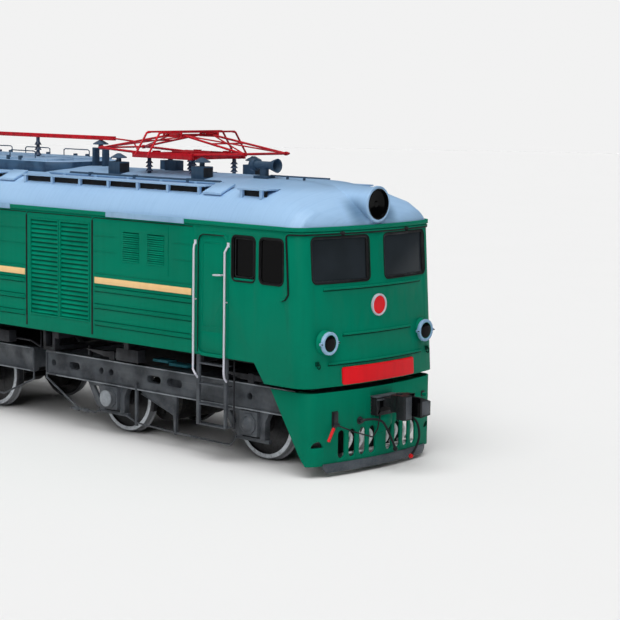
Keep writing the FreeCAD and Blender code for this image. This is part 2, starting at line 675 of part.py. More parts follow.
def floor_and_sills():
    """Floor plate; centre sills with the two bolsters and centre plates that sit on the bogies; cross bearers."""
    back = f"{CAB_FACE} - body_length + wall"
    nose = nose_wire(front_at(S.body_low + S.floor_thick), S.half_width, rear_x + S.wall, S.body_low,
                     S.wall + S.plate_gap)
    node("floor", Part.Face(nose).extrude(V(0, 0, S.floor_thick)))
    low = "body_low - sill_depth"
    parts = []
    for side, start in (("right", "-sill_offset - sill_width / 2"), ("left", "sill_offset - sill_width / 2")):
        parts.append(block(f"sill_{side}", back, start, low, f"body_length - wall - {CAB_LENGTH} / 3", "sill_width",
                           "sill_depth"))
    for end, x in (("front", f"{CAB_FACE} - front_bogie_back"),
                   ("rear", f"{CAB_FACE} - front_bogie_back - bogie_spacing")):
        parts.append(block(f"bolster_{end}", f"{x} - pivot_radius * 1.2", "-sill_offset - sill_width / 2", low,
                           "pivot_radius * 2.4", "2 * sill_offset + sill_width", "sill_depth"))
        parts.append(post(f"centre_plate_{end}", x, "0", "pivot_low", "pivot_radius",
                          "body_low - sill_depth - pivot_low"))
    node("centre_sills", joined("sills_fuse", parts))
    bearers = []
    reach = S.half_width - S.wall
    for i in range(7):
        x = rear_x + S.wall + i * (S.body_length - S.cab_length) / 6
        for y0, y1 in ((S.sill_offset + S.sill_width / 2, reach),):
            bearers.append(box(x, x + S.bearer_width, y0, y1, S.body_low - S.bearer_depth, S.body_low))
    node("cross_bearers", both_sides(Part.makeCompound(bearers)))


def bulkhead():
    x = f"{CAB_FACE} - {CAB_LENGTH}"
    plate = block("bulkhead_plate", f"{x} - wall / 2", "wall - half_width", "body_low + floor_thick", "wall / 2",
                  "2 * half_width - 2 * wall", "body_top - body_low - floor_thick")
    return plate


def hinged_door(width, height):
    """A leaf and its fixed hinges. u runs along the wall from the hinge side, v outward from the wall's inner face."""
    axis = V(S.door_gap, -S.hinge_offset, 0)
    v0 = (S.wall - S.door_thick) / 2
    leaf = [box(S.door_gap, width - S.swing_gap, v0, v0 + S.door_thick, S.door_gap, height - S.door_gap)]
    leaf.append(rod(V(width - 80, v0, 0.47 * height), V(width - 80, S.wall - 2, 0.47 * height), 18))
    fixed = []
    for z in (0.14 * height, 0.82 * height):
        low, high = z - S.hinge_gap, z + S.knuckle + S.hinge_gap
        leaf.append(Part.makeCylinder(S.hinge_radius, S.knuckle, axis + V(0, 0, z)))
        leaf.append(box(axis.x, axis.x + 60, axis.y, v0, z, z + S.knuckle))
        fixed.append(Part.makeCylinder(S.pin_radius, high - low + 60, axis + V(0, 0, low - 30)))
        for start in (low - 40, high):
            fixed.append(box(axis.x - 45, axis.x + 12, axis.y - 12, 0, start, start + 40))
    holes = [Part.makeCylinder(S.pin_radius + S.pin_play, height, axis)]
    return fuse(leaf).cut(holes), Part.makeCompound([fuse(fixed[i:i + 3]) for i in (0, 3)])


def cab_door():
    leaf, hinges = hinged_door(S.door_width, S.door_height)
    for shape in (leaf, hinges):
        shape.translate(V(cab_face - S.door_back, S.half_width - S.wall, S.body_low + S.floor_thick))
    return leaf, hinges


def gangway_door():
    leaf, hinges = hinged_door(S.gangway_width, S.gangway_height)
    for shape in (leaf, hinges):
        shape.rotate(V(0, 0, 0), V(0, 0, 1), 90)
        shape.translate(V(rear_x + S.wall, -S.gangway_width / 2, S.body_low + S.floor_thick))
    return leaf, hinges


def cab_fittings():
    """Driver's desk, seats and the closed equipment in the machine room."""
    front = f"{CAB_FACE} - desk_back"
    desk = joined("desk_fuse", [
        block("desk_top", f"{front} - 150", "-half_width + 2 * wall", "screen_low - 190", "320",
              "2 * half_width - 4 * wall", "60"),
        block("desk_panel", f"{front} - 60", "-half_width + 2 * wall", "body_low + floor_thick", "140",
              "2 * half_width - 4 * wall", "screen_low - 190 - body_low - floor_thick")])
    node("driver_desk", desk)
    seats = []
    for side, y in (("right", "-half_width / 2 - 230"), ("left", "half_width / 2 - 230")):
        x = f"{CAB_FACE} - 1500"
        seats.append(joined(f"seat_{side}", [
            block(f"seat_pad_{side}", x, y, "body_low + 500", "460", "460", "110"),
            block(f"seat_back_{side}", f"{x} - 90", y, "body_low + 500", "90", "460", "650"),
            post(f"seat_post_{side}", f"{x} + 230", f"{y} + 230", "body_low + floor_thick", "70", "470")]))
    node("cab_seats", joined("seats_fuse", seats))
    node("equipment_block", block("equipment_box", f"{CAB_FACE} - 10400", "-750", "body_low + floor_thick", "6200",
                                  "1500", "1500"))


def fairing(front, axis):
    """Headlight fairing that widens backwards into the cab roof."""
    back, low = front - S.fairing_length, S.body_top
    rings = []
    for share in (0.0, 0.35, 0.7, 1.0):
        x = back + share * (S.fairing_length - 30)
        spread = (1 - share) ** 1.5
        radius = S.headlight_radius * 0.96 + spread * (S.fairing_radius - S.headlight_radius)
        middle = axis + S.headlight_radius * 0.96 + 35 * spread - radius
        rings.append(Part.Wire([Part.makeCircle(radius, V(x, 0, middle), V(1, 0, 0))]))
    shape = Part.makeLoft(rings, True, False)
    dome = Part.makeLoft([arch_wire(*row) for row in dome_sections(0)], True, True)
    return shape.cut([dome, box(back - 500, front + 100, -S.half_width, S.half_width, low - 2000, low + 22)])


def lamps():
    """Headlight in its roof fairing, and the two buffer lamps."""
    front, axis = cab_face - S.headlight_back, S.headlight_height
    r = S.headlight_radius
    rim = Part.makeCylinder(r, 45, V(front - 45, 0, axis), V(1, 0, 0))
    hollow = Part.makeCylinder(r * 0.84, 160, V(front - 150, 0, axis), V(1, 0, 0))
    node("headlight", fairing(front, axis).fuse(rim).cut(hollow))
    lens = Part.makeCylinder(r * 0.84 - 1, 15, V(front - 60, 0, axis), V(1, 0, 0))
    z, y, r = S.lamp_height, S.lamp_offset, S.lamp_radius
    bow = S.bow_radius - math.sqrt(S.bow_radius ** 2 - y ** 2)
    face = front_at(z) - bow
    housing = Part.makeCone(r * 1.12, r * 0.95, 85, V(face - 15, y, z), V(1, 0, 0))
    housing = housing.fuse(Part.makeCylinder(r, 40, V(face + 65, y, z), V(1, 0, 0)))
    housing = housing.cut(Part.makeCylinder(r * 0.62, 80, V(face + 40, y, z), V(1, 0, 0)))
    skin = nose_loft(0, z - 2 * r, z + 2 * r, cab_face - S.cab_length)
    node("buffer_lamps", both_sides(housing.cut(skin)))
    small = Part.makeCylinder(r * 0.62 - 1, 12, V(face + 70, y, z), V(1, 0, 0))
    node("lamp_lenses", Part.makeCompound([lens, both_sides(small)]))


def front_ribs():
    """Pressed ribs across the cab front, one above the other."""
    rows = ((2812, 1130), (2125, 790), (1704, 1090))
    return [bowed_strip(z - S.front_rib / 2, z + S.front_rib / 2, half, S.front_rib / 2, 40) for z, half in rows]


def front_plates():
    """Blank number plate and plain disc on the cab front."""
    skin = nose_loft(0, S.skirt_low, S.body_top, cab_face - S.cab_length)
    plate = bowed_strip(S.plate_low, S.plate_low + S.plate_height, S.plate_half, 30, 50).cut(skin)
    z = S.disc_height
    disc = Part.makeCylinder(S.disc_radius, 60, V(front_at(z) - 30, 0, z), V(1, 0, 0)).cut(skin)
    return Part.makeCompound([plate, disc])


def handrails():
    """Two tall rails beside each cab door, from the wall to the ladder."""
    out, wall = S.half_width + 62, S.half_width + S.plate_gap
    z0, z1 = S.body_low - 362, S.door_height + S.body_low - 130
    rails = []
    for x, top, foot in ((cab_face - S.door_back - 42, -20, 55), (cab_face - S.door_back + S.door_width + 30, 20, 15)):
        points = [V(x + top, wall - 30, z1 + 60), V(x + top, wall + 30, z1), V(x, out, z1 - 70), V(x, out, z0 + 130),
                  V(x + foot, out, z0 + 60), V(x + foot, S.half_width + 10, z0)]
        rail = bent_rod(points, 17)
        lug = box(x + top - 26, x + top + 26, wall - 30, wall + 10, z1 + 5, z1 + 75)
        stay = rod(V(x, out, (z0 + z1) / 2 + 190), V(x, wall, (z0 + z1) / 2 + 190), 12)
        rails.append(fuse([rail, lug, stay]))
    skin = box(cab_face - 2 * S.cab_length, cab_face, 0, wall, S.body_low, S.body_top)
    ladder = box(cab_face - 2 * S.cab_length, cab_face, 0, S.half_width + 20 + S.plate_gap, 0, S.body_low)
    return both_sides(Part.makeCompound([rail.cut([skin, ladder]) for rail in rails]))


def door_steps():
    """A ladder below each cab door, hung from the floor."""
    rows = []
    y0, y1 = S.half_width - 30, S.half_width + 20
    x0, x1 = cab_face - S.door_back - 10, cab_face - S.door_back + S.door_width + 50
    low, high = S.body_low - 1096, S.body_low
    rows.append(side_prism([(x0, high), (x0 + 60, high), (x0 + 60, low), (x0, low)], y0, y1))
    rows.append(side_prism([(x1 - 60, high), (x1, high), (x1, low + 420), (x1 - 22, low), (x1 - 60, low)], y0, y1))
    for i in range(4):
        z = low + i * 318
        rows.append(box(x0 + 30, x1 - 30, y0 - 110, y1, z, z + 20))
    return both_sides(fuse(rows))


def roof_surface(y):
    """Height of the main roof above a point across it."""
    cy, cz = shoulder_centre()
    if abs(y) * (S.crown_radius - S.shoulder_radius) > cy * S.crown_radius:
        return S.body_top + cz + math.sqrt(S.shoulder_radius ** 2 - (abs(y) - cy) ** 2)
    return roof_top - S.crown_radius + math.sqrt(S.crown_radius ** 2 - y ** 2)


def roof_walkways():
    """Plates along both roof edges on short posts, hinged step plates beside them and a pipe along their inner edge."""
    rows = []
    edge, inner, post_width = S.walkway_edge, S.walkway_edge - S.walkway_width, S.walkway_post
    level = S.walkway_height - S.walkway_thick
    for front, length in ((S.walkway_front_back, S.walkway_rear_back - S.walkway_front_back),
                          (S.rear_walkway_back, S.body_length - 400 - S.rear_walkway_back),
                          (S.front_platform_back, S.front_platform_length)):
        x0, x1 = cab_face - front - length, cab_face - front
        plate = box(x0, x1, inner, edge, level, S.walkway_height)
        count = max(round(length / S.walkway_post_pitch), 1)
        legs = []
        for i in range(count + 1):
            x = x0 + post_width + i * (length - 3 * post_width) / count
            legs.append(box(x, x + post_width, edge - 60, edge - 10, roof_surface(edge) - 40, level + 5))
        pipe = walkway_pipe() if front == S.walkway_front_back else []
        rows.append(cut_by_roof(fuse([plate] + legs + pipe)))
    for back in (S.walkway_front_back, S.rear_walkway_back):
        rows.append(step_plate(cab_face - back + 30, 400))
    return both_sides(Part.makeCompound(rows))


def step_plate(x, length):
    """A thin plate that follows the roof's slope outside the walkways' ends."""
    y0, y1 = S.walkway_edge - S.walkway_width * 0.75, S.walkway_edge
    slope = [(y, roof_surface(y)) for y in (y0, y1)]
    outline = [V(x, y, z + up) for up, pair in ((30, slope), (62, slope[::-1])) for y, z in pair]
    plate = Part.Face(Part.makePolygon(outline + outline[:1])).extrude(V(length, 0, 0))
    feet = [box(x + k * length - 15, x + k * length + 15, y0 + 40, y1 - 40, slope[1][1] - 60, slope[0][1] + 35)
            for k in (0.2, 0.8)]
    return cut_by_roof(fuse([plate] + [foot.common(under_plate(x, length, slope)) for foot in feet]))


def under_plate(x, length, slope):
    """Space below a step plate, down to the roof."""
    (y0, z0), (y1, z1) = slope
    outline = [V(x, y0, z0 + 31), V(x, y1, z1 + 31), V(x, y1, z1 - 100), V(x, y0, z1 - 100)]
    return Part.Face(Part.makePolygon(outline + outline[:1])).extrude(V(length, 0, 0))


def walkway_pipe():
    """Pipe on saddles along the main walkway's inner edge."""
    y, z = S.walkway_edge - S.walkway_width + 60, S.walkway_height + S.pipe_radius + 6
    x0, x1 = cab_face - S.walkway_rear_back + 330, cab_face - S.walkway_front_back + 120
    pieces = [rod(V(x0, y, z), V(x1, y, z), S.pipe_radius)]
    count = 5
    for i in range(count):
        x = x0 + (i + 0.5) * (x1 - x0 - 200) / count
        pieces.append(box(x - 25, x + 25, y - 30, y + 30, S.walkway_height - 5, z + 8))
    return pieces


def roof_solid():
    x0, x1 = rear_x, cab_face - S.dome_length / 2
    return Part.Face(arch_wire(x0, S.half_width, S.roof_rise)).extrude(V(x1 - x0, 0, 0))


def cut_by_roof(shape):
    return shape.cut(roof_solid())


def roof_hatches():
    """Raised coaming with its lids behind the pantograph."""
    rows = []
    half, chamfer = S.hatch_half_width, S.hatch_chamfer
    z0, z1 = roof_surface(half) - 60, roof_top + S.hatch_rise
    x0, x1 = cab_face - S.hatch_front_back - S.hatch_length, cab_face - S.hatch_front_back
    outline = [(x0, -half), (x1 - chamfer, -half), (x1, -half + chamfer), (x1, half - chamfer), (x1 - chamfer, half),
               (x0, half)]
    rows.append(cut_by_roof(plan_prism(outline, z0, z1)))
    margin = S.lid_gap
    count = int((x1 - chamfer - x0) // (S.lid_length + margin))
    for i in range(count):
        start = x1 - chamfer - (i + 1) * (S.lid_length + margin)
        rows.append(box(start, start + S.lid_length, margin - half, -2 * margin, z1, z1 + S.lid_thick))
        rows.append(box(start, start + S.lid_length, 2 * margin, half - margin, z1, z1 + S.lid_thick))
    return fuse(rows)


def mushroom(x, y, z):
    """Flat cone cap on its neck."""
    neck = Part.makeCylinder(S.neck_radius, S.neck_height + 10, V(x, y, z - 5))
    rim = Part.makeCylinder(S.cap_radius, S.cap_height * 0.2, V(x, y, z + S.neck_height))
    crown = Part.makeCone(S.cap_radius, S.cap_radius * 0.2, S.cap_height * 0.8,
                          V(x, y, z + S.neck_height + S.cap_height * 0.2))
    return [neck, rim, crown]


def roof_vents():
    """Box vents with mushroom caps on both sides, the busbar's front stand and the box below the pantograph."""
    rows, single = [], []
    for back in (S.vent_front_back, S.vent_front_back + S.vent_pitch):
        x, y = cab_face - back, S.vent_offset
        z = roof_surface(y) + S.vent_height
        base = box(x - S.vent_length / 2, x + S.vent_length / 2, y - S.vent_width / 2, y + S.vent_width / 2,
                   roof_surface(y) - 60, z)
        rows.append(fuse([cut_by_roof(base)] + mushroom(x, y, z)))
    x, z = cab_face - S.bridge_back, S.busbar_height - S.busbar_half - S.neck_height - S.cap_height - 25
    legs = [box(x + k * S.bridge_half - 28, x + k * S.bridge_half + 28, -60, 60, roof_top - 20, z + 5) for k in (-1, 1)]
    cross = box(x - S.bridge_half - 28, x + S.bridge_half + 28, -60, 60, z, z + 30)
    single.append(fuse([cut_by_roof(leg) for leg in legs] + [cross] + mushroom(x, 0, z + 25)))
    cx = cab_face - S.panto_back
    single.append(cut_by_roof(box(cx - 560, cx - 290, -90, 90, roof_top - 60, roof_top + 165)))
    return Part.makeCompound(both_sides(Part.makeCompound(rows)).Solids + single)


def roof_horn():
    """Horn with its bell mouth on a bracket near the cab."""
    x, y, r = cab_face - S.horn_back, -S.horn_offset, S.horn_radius
    z = roof_surface(y)
    axis = z + S.horn_rise
    bell = Part.makeCone(r * 0.55, r, 150, V(x + 130, y, axis), V(1, 0, 0))
    mouth = Part.makeCone(r * 0.4, r * 0.9, 130, V(x + 151, y, axis), V(1, 0, 0))
    body = Part.makeCylinder(r * 0.55, 320, V(x - 190, y, axis), V(1, 0, 0))
    back = Part.makeCylinder(r * 0.85, 90, V(x - 260, y, axis), V(1, 0, 0))
    stand = box(x - 60, x + 60, y - 40, y + 40, z - 60, axis)
    foot = box(x - 150, x + 150, y - 90, y + 90, z - 60, z + 35)
    pipe = rod(V(x + 140, y, z + 45), V(x + 1380, y, z + 45), 12)
    saddles = [box(x + k - 15, x + k + 15, y - 15, y + 15, z - 200, z + 50) for k in (500, 850)]
    return fuse([bell, body, back, stand, foot, pipe] + saddles).cut([mouth, roof_solid()])


def busbar():
    half, z = S.busbar_half, S.busbar_height
    x0, x1 = rear_x + 150, cab_face - S.busbar_start
    bar = box(x0, x1, -half, half, z - half, z + half)
    lead = bent_rod([V(x1 - 20, 0, z), V(x1 + S.busbar_tip, 0, z - 30), V(x1 + S.busbar_tip + 160, 0, z - 240),
                     V(cab_face - S.panto_back - 685 - S.plate_gap, 0, S.panto_base_height + 40)], 14)
    return fuse([bar, lead])


def insulator(x, y, z0, z1, radius):
    """Porcelain post with sheds."""
    shed = (z1 - z0) / 4
    pieces = [Part.makeCylinder(radius * 0.5, z1 - z0, V(x, y, z0))]
    for i in range(3):
        pieces.append(Part.makeCone(radius, radius * 0.55, shed * 0.6, V(x, y, z0 + (i + 0.55) * shed)))
    return fuse(pieces)


def insulators():
    """Under the pantograph base and the busbar."""
    rows = []
    px = cab_face - S.panto_back
    for x in (px - 520, px + 520):
        for k in (-1, 1):
            rows.append(insulator(x, k * S.panto_rail, roof_surface(S.panto_rail), S.panto_base_height,
                                  S.insulator_radius))
    low, high = roof_top + S.hatch_rise, S.busbar_height - S.busbar_half
    for share in (0.2, 0.55, 0.86):
        x = cab_face - S.busbar_start - share * (S.body_length - S.busbar_start - 150) - 900 * (1 - share)
        rows.append(insulator(x, 0, low, high, S.insulator_radius))
    return Part.makeCompound([row.cut(roof_solid()) for row in rows])


def pantograph():
    """Base, two lower arms, two upper arms and the head, folded down."""
    cx = cab_face - S.panto_back
    low, high = S.panto_base_height, S.panto_base_height + S.panto_base_depth
    shaft_z, bore = S.panto_shaft_height, S.panto_shaft_radius + S.pin_gap
    rails = [box(cx - 700, cx + 640, y - 30, y + 30, low, high) for y in (-S.panto_rail, S.panto_rail)]
    rails += [box(cx + x - 35, cx + x + 35, -S.panto_rail, S.panto_rail, low, high) for x in (-650, -520, 0, 520)]
    beam = S.panto_shaft_half * 1.04 + 12
    rails += [box(cx - 780, cx + 640, y, y + 45, low, high + 40) for y in (-beam - 45, beam)]
    rails += [box(cx + x - 30, cx + x + 30, -beam - 10, beam + 10, low, high - 10) for x in (-130, 130)]
    rails += [rod(V(cx - 250, y, high + 22), V(cx + 250, y, high + 22), 34) for y in (-190, 190)]
    for x in (cx - S.panto_shaft_offset, cx + S.panto_shaft_offset):
        rails += [box(x - 70, x + 70, y - 30, y + 30, low, shaft_z + 60) for y in (-S.panto_rail, S.panto_rail)]
    bores = [rod(V(x, -600, shaft_z), V(x, 600, shaft_z), bore)
             for x in (cx - S.panto_shaft_offset, cx + S.panto_shaft_offset)]
    node("pantograph_base", fuse(rails).cut(bores))
    for sign, end in ((1, "front"), (-1, "rear")):
        shaft = V(cx + sign * S.panto_shaft_offset, 0, shaft_z)
        knee = V(cx + sign * S.knee_offset, 0, S.knee_height)
        head = V(cx + sign * S.head_pivot_offset, 0, S.head_pivot_height)
        foot, side, top = V(0, S.panto_shaft_half, 0), V(0, S.knee_half, 0), V(0, S.head_pivot_half, 0)
        lower = [rod(shaft - foot * 1.04, shaft + foot * 1.04, S.panto_shaft_radius)]
        lower += [rod(shaft + foot * k, knee + side * k, S.arm_radius) for k in (-1, 1)]
        lower.append(rod(knee - side * 1.04, knee + side * 1.04, S.knee_tube_radius))
        node(f"lower_arm_{end}", fuse(lower))
        inner, narrow, eye = side * 0.9, top * 0.8, V(0, 22, 0)
        upper = [rod(knee + inner * k - eye, knee + inner * k + eye, 2 * S.knee_tube_radius) for k in (-1, 1)]
        upper += [rod(knee + inner * k, head + narrow * k, S.arm_radius - 3) for k in (-1, 1)]
        middle, spread = knee + (head - knee) * 0.55, inner * 0.45 + narrow * 0.55
        upper += [rod(head - top * 1.06, head + top * 1.06, S.head_tube_radius),
                  rod(middle - spread, middle + spread, 13)]
        upper += [rod(knee + inner * k, head - narrow * k, 12) for k in (-1, 1)]
        holes = [rod(knee + inner * k - eye * 2, knee + inner * k + eye * 2, S.knee_tube_radius + S.pin_gap)
                 for k in (-1, 1)]
        node(f"upper_arm_{end}", fuse(upper).cut(holes))
    node("pantograph_head", pantograph_head(cx))


def pantograph_head(cx):
    """Two contact strips with turned-down horns; the rear top tube has play along X in its slotted cheeks."""
    top, pivot = S.head_height, S.head_pivot_height
    pieces = []
    for x in (cx - S.head_pivot_offset, cx + S.head_pivot_offset):
        pieces.append(box(x - 30, x + 30, -S.strip_half, S.strip_half, top - 30, top))
        for k in (-1, 1):
            pieces.append(bent_rod([V(x, k * (S.strip_half - 40), top - 18), V(x, k * (S.strip_half + 40), top - 30),
                                    V(x, k * S.horn_half, top - S.horn_drop)], 17))
    hole, play = S.head_tube_radius + S.pin_gap, S.head_slot
    for y in (-S.head_pivot_half, S.head_pivot_half):
        pieces.append(box(cx - S.head_pivot_offset - play - 50, cx + S.head_pivot_offset + 50, y - 12, y + 12,
                          pivot - 35, top - 25))
    head = fuse(pieces)
    front, rear = cx + S.head_pivot_offset, cx - S.head_pivot_offset
    slot = rounded_hole("Y", rear - play - hole, rear + play + hole, pivot - hole - 0.5, pivot + hole + 0.5, hole,
                        -S.strip_half, S.strip_half)
    return head.cut([rod(V(front, -500, pivot), V(front, 500, pivot), hole), slot])


# ---------------------------------------------------------------- running gear
def wheelset(name, x):
    """Axle and its two wheels as one revolved body."""
    r, y0 = S.wheel_radius, S.back_to_back / 2
    y1 = y0 + S.tyre_width
    flange = r + S.flange_height
    rim = r - S.tyre_depth
    web0, web1 = y0 + S.tyre_width / 2 - S.web_width / 2, y0 + S.tyre_width / 2 + S.web_width / 2
    half = [
        (0, S.axle_radius), (y0 - 30, S.axle_radius), (y0 - 30, S.hub_radius), (web0, S.hub_radius + 15),
        (web0, rim), (y0, rim), (y0, flange - 12), (y0 + 10, flange), (y0 + 20, flange),
        (y0 + S.flange_width, r), (y1 - 8, r - 6), (y1, r - 14), (y1, rim), (web1, rim), (web1, S.hub_radius + 15),
        (y1 + 10, S.hub_radius), (y1 + 10, S.axle_radius), (S.box_inner - 20, S.axle_radius),
        (S.box_inner - 20, S.journal_radius), (S.journal_reach, S.journal_radius),
    ]
    outline = [(-y, radius) for y, radius in reversed(half[1:])] + half[1:]
    outline = [(-S.journal_reach, 0)] + outline + [(S.journal_reach, 0)]
    body = doc.addObject("PartDesign::Body", f"{name}_body")
    sketch = body.newObject("Sketcher::SketchObject", f"{name}_profile")
    plane = [f for f in body.Origin.OriginFeatures if f.Role == "YZ_Plane"][0]
    sketch.AttachmentSupport = [(plane, "")]
    sketch.MapMode = "FlatFace"
    points = [V(y, radius, 0) for y, radius in outline]
    for a, b in zip(points, points[1:] + points[:1]):
        sketch.addGeometry(Part.LineSegment(a, b), False)
    turned = body.newObject("PartDesign::Revolution", f"{name}_turned")
    turned.Profile = sketch
    turned.ReferenceAxis = (sketch, ["H_Axis"])
    turned.Angle = 360
    body.Tip = turned
    body.Placement.Base = V(x, 0, axle_height)
    return body


def side_frame(cx, front, back):
    """One bogie side: the deep beam with its holes, pedestal legs with their webs, keepers and tie bars."""
    inner, low = S.beam_face - S.beam_thick, S.beam_low
    pieces = [box(cx - back, cx + front, inner, S.beam_face, low, S.beam_high)]
    for z in (low, S.beam_high - 30):
        pieces.append(box(cx - back, cx + front, inner, S.beam_face + 25, z, z + 30))
    holes = []
    for axle in (cx - S.axle_spacing / 2, cx + S.axle_spacing / 2):
        for k in (-1, 1):
            near, far = axle + k * S.pedestal_in, axle + k * S.pedestal_out
            leg = [(near, low + 5), (near, S.pedestal_low), (far, S.pedestal_low), (far, low - 150),
                   (far + k * 90, low + 5)]
            pieces.append(side_prism(leg, inner, S.beam_face))
        far, end = axle - S.pedestal_out, axle - S.web_reach
        web = [(far + 5, S.pedestal_low + 10), (far - 120, S.pedestal_low + 60), (end, low + 5), (far + 5, low + 5)]
        pieces.append(side_prism(web, inner + 40, S.beam_face - 20))
        holes.append(side_prism([(far - 40, S.pedestal_low + 160), (far - 40, low - 60), (end + 150, low - 60)],
                                inner - 1, S.beam_face + 30))
        pieces.append(box(axle - S.pedestal_out - 60, axle + S.pedestal_out + 60, inner + 20, S.beam_face - 20,
                          S.pedestal_low - 55, S.pedestal_low))
    frame = fuse(pieces)
    middle = (low + S.beam_high) / 2 + 5
    for x, half, radius in ((-3093, 0, 55), (-2556, 75, 62), (-1873, 0, 55), (-1631, 0, 55), (-595, 100, 62),
                            (-112, 110, 65), (1566, 0, 55)):
        holes.append(rounded_hole("Y", cx + x - half - radius, cx + x + half + radius + 0.5, middle - radius - 0.25,
                                  middle + radius + 0.25, radius, inner - 1, S.beam_face + 30))
    return fuse([frame.cut(holes), side_rods(cx, front, back)])


def side_rods(cx, ahead, back):
    """Corner stay, tie bar, safety bar, post and brace on a bogie side's outer face."""
    y, r = S.beam_face + 8, S.rod_radius
    low, tie = S.beam_low, S.tie_height
    rear, front = cx - S.axle_spacing / 2, cx + S.axle_spacing / 2
    end, keeper = cx - back, S.pedestal_low - 30
    tail = rear - S.pedestal_in - S.web_reach - 200
    foot = V(rear - S.pedestal_out - 20, y - 25, keeper)
    rods = [bent_rod([V(end - 6, y, S.beam_high - 20), V(end - 6, y, low - 60), V(tail + 90, y, tie + 60),
                      V(tail + 190, y, tie)], r)]
    rods.append(bent_rod([V(tail, y, tie), V(rear - S.pedestal_out - 120, y, tie), foot], r))
    rods += [rod(V(tail + x, y, tie), V(tail + x + 110, y, tie), 2 * r) for x in (90, 330)]
    rods.append(box(end - 8, end + 10, y - 60, y + 20, low + 60, S.beam_high - 60))
    if ahead > S.axle_spacing / 2 + 1200:
        nose, keep = cx + ahead + 6, front + S.pedestal_out + 20
        rods.append(bent_rod([V(nose, y, S.beam_high - 20), V(nose, y, low - 130), V(keep + 330, y, keeper - 20),
                              V(keep - 30, y - 25, keeper - 6)], r - 1))
        rods.append(box(nose - 10, nose + 8, y - 60, y + 20, low + 60, S.beam_high - 60))
    mast = rear + S.wheel_radius + 16
    rods.append(box(mast - 25, mast + 25, y - 10, y + 28, tie - 92, low + 110))
    rods.append(bent_rod([V(rear + S.pedestal_out + 20, y - 25, keeper), V(mast, y + 10, tie - 40),
                          V(mast + 900, y + 10, tie - 80), V(front - S.pedestal_out - 130, y + 10, tie - 100),
                          V(front - S.pedestal_out - 20, y - 25, keeper)], r * 0.8))
    hang = mast + 905
    rods.append(side_prism([(hang - 70, low + 5), (hang + 40, low + 5), (hang + 25, tie + 60), (hang + 15, tie - 110),
                            (hang - 20, tie - 110), (hang - 30, tie + 60)], y - 40, y + 10))
    brace = [(mast + 20, low + 5), (hang - 40, low + 5), (hang - 25, low - 320), (mast + 90, low - 60)]
    rods.append(side_prism(brace, y - 60, y - 45))
    rods.append(rod(V(mast + 50, y - 50, low - 60), V(hang - 30, y - 50, low - 330), 14))
    return fuse(rods)


def bogie_frame(cx, front, back):
    """Both side frames tied by end beams and the bolster that carries the body's centre plate."""
    inner = S.beam_face - S.beam_thick
    side = side_frame(cx, front, back)
    pieces = [side, side.mirror(V(0, 0, 0), V(0, 1, 0))]
    pieces.append(box(cx - S.bolster_half, cx + S.bolster_half, -inner - 5, inner + 5, S.beam_low + 40, S.beam_high))
    for x in (cx - back, cx + front - S.end_beam):
        pieces.append(box(x, x + S.end_beam, -inner - 5, inner + 5, S.beam_low + 60, S.beam_high - 30))
    pieces.append(Part.makeCylinder(S.pivot_radius, S.pivot_low - S.plate_gap - S.beam_high + 5,
                                    V(cx, 0, S.beam_high - 5)))
    return pieces


def tongue(x, root, radius):
    """Flat drawbar tongue from a bogie's end to its round eye."""
    bar = box(min(x, root), max(x, root), -90, 90, S.tongue_low, S.tongue_low + S.tongue_thick)
    return bar.fuse(Part.makeCylinder(radius, S.tongue_thick, V(x, 0, S.tongue_low)))


def bogie_front():
    """Front bogie's frame, with the tongue of the joint between the bogies."""
    cx = front_bogie_x
    joint = cab_face - S.middle_joint_back
    back = cx - joint - S.joint_clear
    pieces = bogie_frame(cx, S.front_bogie_back - S.frame_front_back, back)
    pieces.append(tongue(joint, cx - back + 50, S.middle_eye_radius))
    return fuse(pieces).cut(Part.makeCylinder(S.eye_pin_radius + S.joint_play, 200, V(joint, 0, S.tongue_low - 50)))


def bogie_rear():
    """Rear bogie's frame, with the fork and pin of the joint between the bogies and the rear drawbar."""
    cx = rear_bogie_x
    joint, tail = cab_face - S.middle_joint_back, cab_face - S.joint_back
    front = joint - cx - S.joint_clear
    low, high = S.tongue_low - S.fork_gap - S.fork_thick, S.tongue_low + S.tongue_thick + S.fork_gap
    fork = [Part.makeCylinder(S.eye_pin_radius, high + S.fork_thick - low, V(joint, 0, low))]
    for z in (low, high):
        fork.append(box(cx + front - 10, joint, -100, 100, z, z + S.fork_thick))
        fork.append(Part.makeCylinder(100, S.fork_thick, V(joint, 0, z)))
    frame = fuse([fuse(bogie_frame(cx, front, S.rear_overhang)), fuse(fork),
                  tongue(tail, cx - S.rear_overhang + 10, S.eye_radius)])
    return frame.cut(Part.makeCylinder(S.eye_pin_radius, 200, V(tail, 0, S.tongue_low - 50)))


